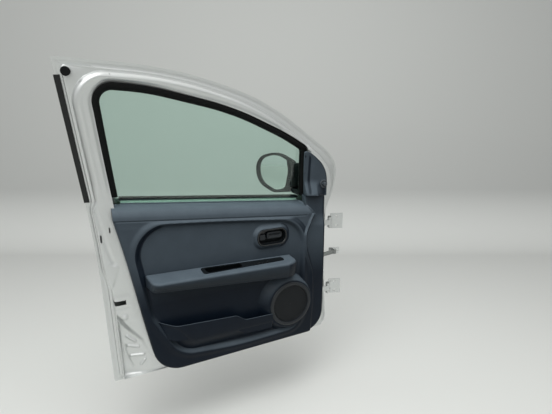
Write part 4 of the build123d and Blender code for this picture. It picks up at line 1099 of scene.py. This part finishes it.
def sailCover():
    riserX = trim["riserX"]
    foot = beltZ(riserX)
    lastX = riserX + 105
    outline = ([(riserX - 2, foot + 2, 3)] + [(riserX + x, foot + z, r) for x, z, r in sail["edge"]]
               + [(lastX, beltZ(lastX) + 2, 3)])
    rim, plan = trace(outline, 3)
    rows = [upright(rim, innerY(rim[:, 1]) - 0.3)]
    for drawn, left in quarter(4):
        ring = inner(outline, sail["round"] * drawn, 3, plan)
        rows.append(upright(ring, innerY(ring[:, 1]) - sail["thick"] + sail["round"] * left))
    border = rows[-1][:, [0, 2]]
    flat, tris = patch(border, 4.0)
    x, z = flat.T
    flute = sail["flute"] * ridge(x - sail["fluteX"], sail["fluteHalf"])
    y = innerY(z) - sail["thick"] + flute * ease(depthIn(flat, border[::2]) / sail["fluteEdge"])
    surface = np.stack([x, y - swell(x, z), z], axis=1)
    for row in rows[1:]:
        row[:, 1] -= swell(row[:, 0], row[:, 2])
    piece("sailCover", [strip(rows), (surface, tris.tolist())], "trim", "door",
          ["sail_cover"], crease=50)
    # control knob: flanged foot and a waisted stem. Columns: radius, height over the cover
    knob = [(17, -2), (17, 3), (16.2, 4.6), (13.5, 5.4), (12, 4.6), (10.5, 2.8), (8, 2.5), (7.2, 9),
            (8.4, 14), (8.2, 16), (6.6, 17), (3, 17.2), (0.3, 17.2)]
    foot = float(innerY(sail["knobZ"] + 17)) - 6.9
    parts = [turned([(r, foot - up) for r, up in knob], (sail["knobX"], 0, sail["knobZ"]), 48)]
    piece("mirrorControl", parts, "knob", "door", ["mirror_knob"])


sailCover()


def beltReturn():
    # painted flange of the outer skin that shows through the glass under the outer wiper; its pale
    # finish is painted light on a strip that lies in shade
    rows, x = [], np.linspace(66, 752, 60)
    for down, depth in ((16, 6), (16.5, 14), (19, 17.5), (44, 19)):
        z = beltZ(x) - down
        rows.append(np.stack([x, skinY(z) - depth, z], axis=1))
    return piece("beltReturn", [strip(rows, closed=False)], "paintedLitFlange", "door")


beltReturn()


# Exterior mirror

mirror = {
    "x": 800.0, "y": 42.0, "rake": 26.0, "depth": 72.0, "taper": 62.0,
    "bowlPower": 2.3, "bowlEnd": 0.985,
    # outlines in the rim's plane. Columns: out along the rim, height, corner radius
    "rim": [(26, 612, 12), (8, 739, 50), (110, 782, 110), (222, 752, 70), (214, 636, 80),
            (120, 598, 60)],
    "pane": [(66, 622, 30), (50, 700, 90), (62, 764, 34), (112, 771, 100), (209, 741, 60),
             (202, 644, 68), (122, 608, 50)],
    "paneMiddle": (128.0, 690.0), "paneBack": 1.5, "paneSag": 2.2, "paneThick": 2.2,
    # Columns: inset, depth forward of the rim
    "lip": [(40, 5), (14, 5), (12, 3.5), (8.5, -3), (6, -8.5), (4.4, -11), (2, -11.6), (0.6, -9.6),
            (0, -6), (0, 0)],
}


def inMirror(flat, w):
    # u out along the rim, v up, w forward into the bowl
    a = math.radians(mirror["rake"])
    w = np.broadcast_to(w, len(flat))
    x = mirror["x"] - math.sin(a) * flat[:, 0] + math.cos(a) * w
    y = mirror["y"] + math.cos(a) * flat[:, 0] + math.sin(a) * w
    return np.stack([x, y, flat[:, 1]], axis=1)


def mirrorHead():
    plan = trace(mirror["rim"], 4)[1]
    rows = [inMirror(inner(mirror["rim"], inward, 4, plan), w) for inward, w in mirror["lip"]]
    for k in range(1, 15):
        share = k / 14
        bow = (share * mirror["bowlEnd"]) ** mirror["bowlPower"]
        inward = mirror["taper"] * (1 - math.sqrt(1 - bow))
        rows.append(inMirror(inner(mirror["rim"], inward, 4, plan), mirror["depth"] * share))
    parts = [strip(rows), lid(rows[-1])]
    # bearing that turns on the foot's pin, beside the bowl. Columns: radius, height
    neck = [(9.5, 640), (24.5, 640), (26, 641.5), (26, 724), (24, 733), (17, 738), (0.5, 739)]
    parts.append(turned(neck, (mirror["x"], mirror["y"], 0), 48, axis="z"))
    piece("mirrorShell", parts, "housing", "mirror_head", ["mirror_housing"], crease=45)
    flatRim, _ = trace(mirror["pane"], 4)
    flat, tris = patch(flatRim, 6)

    def sag(points):
        away = points - np.array(mirror["paneMiddle"])
        return mirror["paneBack"] + mirror["paneSag"] * (away ** 2).sum(axis=1) / 90 ** 2

    skirt = strip([inMirror(flatRim, sag(flatRim) + more) for more in (0, mirror["paneThick"])])
    piece("mirrorPane", [(inMirror(flat, sag(flat)), tris.tolist()), skirt], "mirror", "mirror_head",
          ["mirror_glass"])


mirrorHead()
print("mirror made")


# Fasteners

def bolt(x, y, z, radius):
    # flanged hexagon head that stands on a face and points forward. Columns: radius, height
    flange = [(radius * 1.3, 0), (radius * 1.3, 1.0), (radius, 1.6)]
    head = [(radius, 1.4), (radius, 4.4), (radius * 0.86, 5.2), (0.3, 5.2)]
    return [turned(flange, (x, y, z), 24, axis="x"), turned(head, (x, y, z), 6, axis="x")]


def hingeBolts():
    screws = {"x": 866.2, "y": -62, "z": (463, 497, 153, 187), "radius": 5.5}
    parts = []
    for z in screws["z"]:
        parts += bolt(screws["x"], screws["y"], z, screws["radius"])
    piece("doorLeafBolts", parts, "lacquer", "door")


hingeBolts()
print("fasteners made")

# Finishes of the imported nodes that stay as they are

cadFinish = {
    "lacquer": ["door_outer_skin", "hinge_door_leaf_upper",
                "hinge_door_leaf_lower", "hinge_body_leaf_upper", "hinge_body_leaf_lower",
                "check_bracket", "outer_handle_cup", "outer_handle_grip"],
    "rubber": ["belt_seal_outer", "corner_plug"],
    "trim": ["belt_seal_inner"],
    "film": ["pillar_strip"],
    "glass": ["window_glass"],
    "housing": ["mirror_base"],
    "steel": ["hinge_pin_upper", "hinge_pin_lower", "check_arm", "check_guide", "door_latch",
              "latch_claw", "lock_cylinder"],
}
for finish, names in cadFinish.items():
    for name in names:
        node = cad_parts[name]
        node.data.materials.clear()
        node.data.materials.append(finishes[finish])
print("carried-over nodes finished")

# Floor, backdrop, light and camera
studio = {"floorHeight": -0.76, "wall": 2.4, "bend": 0.5, "reach": 9.0, "shift": 0.5, "pale": "#DDDFDB",
          "bounce": "#2E2F2E", "horizon": 0.45, "skySpan": (-0.6, 0.9),
          # tones from below, from the horizon and from above
          "skySeen": ("#4E5051", "#DADCDB", "#F4F5F3"), "skyLight": ("#050506", "#A0A2A4", "#FFFFFF")}
lamps = {
    "keyBox": {"power": 34.0, "size": (2.4, 2.4), "at": (-2.3, -1.5, 2.2), "towards": (-0.5, 0, 0)},
    "topBox": {"power": 40.0, "size": (2.8, 1.6), "at": (-0.6, -0.75, 2.1),
               "towards": (-0.5, 0.05, 0)},
}
viewFrom = {"x": -109.7, "y": -1476.3, "z": 953.8, "turn": -28.0, "dip": 13.0,
            "focalPixels": 415.0, "width": 552, "sensor": 36.0}


def coveMesh():
    # floor that bends up into a wall behind the door
    turn, reach = math.radians(viewFrom["turn"]), studio["reach"]
    wall, bend = studio["wall"], studio["bend"]
    bent = [(wall - bend * left, bend * up) for up, left in quarter(12)]
    profile = [(-reach, 0.0)] + bent + [(wall, reach)]
    rows = [[(side * math.cos(turn) - along * math.sin(turn) - studio["shift"],
              side * math.sin(turn) + along * math.cos(turn), up + studio["floorHeight"])
             for side in (-reach, reach)] for along, up in profile]
    verts, faces = strip(rows, closed=False)
    mesh = bpy.data.meshes.new("cove")
    mesh.from_pydata(verts.tolist(), [], faces)
    mesh.polygons.foreach_set("use_smooth", [True] * len(faces))
    return mesh


def coveMaterial():
    # pale matt paint to the eye, to gloss and to glass; greyer in the light it throws back
    material = bpy.data.materials.new("paleCove")
    material.use_nodes = True
    tree = material.node_tree
    tree.nodes.clear()
    seen = addNode(tree, "BsdfDiffuse", {"Color": linear(studio["pale"])})
    thrown = addNode(tree, "BsdfDiffuse", {"Color": linear(studio["bounce"])})
    matt = addNode(tree, "MixShader", {0: (addNode(tree, "LightPath"), "Is Diffuse Ray"),
                                       1: (seen, "BSDF"), 2: (thrown, "BSDF")})
    addNode(tree, "OutputMaterial", {"Surface": (matt, "Shader")})
    return material


cove = bpy.data.objects.new("cove", coveMesh())
bpy.context.scene.collection.objects.link(cove)
cove.data.materials.append(coveMaterial())

# light sky overhead that fades to a dark hall below, so that the lacquer has contrast. What
# is seen in it and what lights the scene have their own tones
world = bpy.data.worlds.new("studioWorld")
bpy.context.scene.world = world
world.use_nodes = True
air = world.node_tree
air.nodes.clear()
split = addNode(air, "SeparateXYZ", {"Vector": (addNode(air, "TexCoord"), "Generated")})
level = spread(air, (split, "Z"), 0.0, 1.0, *studio["skySpan"])
skies = {0: (addNode(air, "LightPath"), "Is Diffuse Ray")}
for slot, tones in enumerate((studio["skySeen"], studio["skyLight"]), 1):
    band = ramp(air, level, list(zip((0.0, studio["horizon"], 1.0), tones)))
    skies[slot] = (addNode(air, "Background", {"Color": band}), "Background")
addNode(air, "OutputWorld", {"Surface": (addNode(air, "MixShader", skies), "Shader")})


def softbox(name, power, size, at, towards):
    lamp = bpy.data.lights.new(name, "AREA")
    lamp.shape, lamp.size, lamp.size_y, lamp.energy = "RECTANGLE", size[0], size[1], power
    obj = bpy.data.objects.new(name, lamp)
    bpy.context.scene.collection.objects.link(obj)
    obj.location = at
    obj.rotation_euler = (Vector(towards) - Vector(at)).to_track_quat("-Z", "Y").to_euler()
    return obj


boxes = {name: softbox(name, **lamp) for name, lamp in lamps.items()}
# the lacquer mirrors the even sky instead
boxes["topBox"].visible_glossy = False

camera = bpy.data.objects.new("camera", bpy.data.cameras.new("camera"))
bpy.context.scene.collection.objects.link(camera)
bpy.context.scene.camera = camera
camera.data.sensor_width = viewFrom["sensor"]
camera.data.lens = viewFrom["focalPixels"] * viewFrom["sensor"] / viewFrom["width"]
camera.data.clip_start, camera.data.clip_end = 0.02, 60
camera.location = place([viewFrom["x"], viewFrom["y"], viewFrom["z"]])
camera.rotation_euler = (math.radians(90 - viewFrom["dip"]), 0, math.radians(viewFrom["turn"]))
bpy.context.scene.view_settings.view_transform = "Standard"
print("studio set")
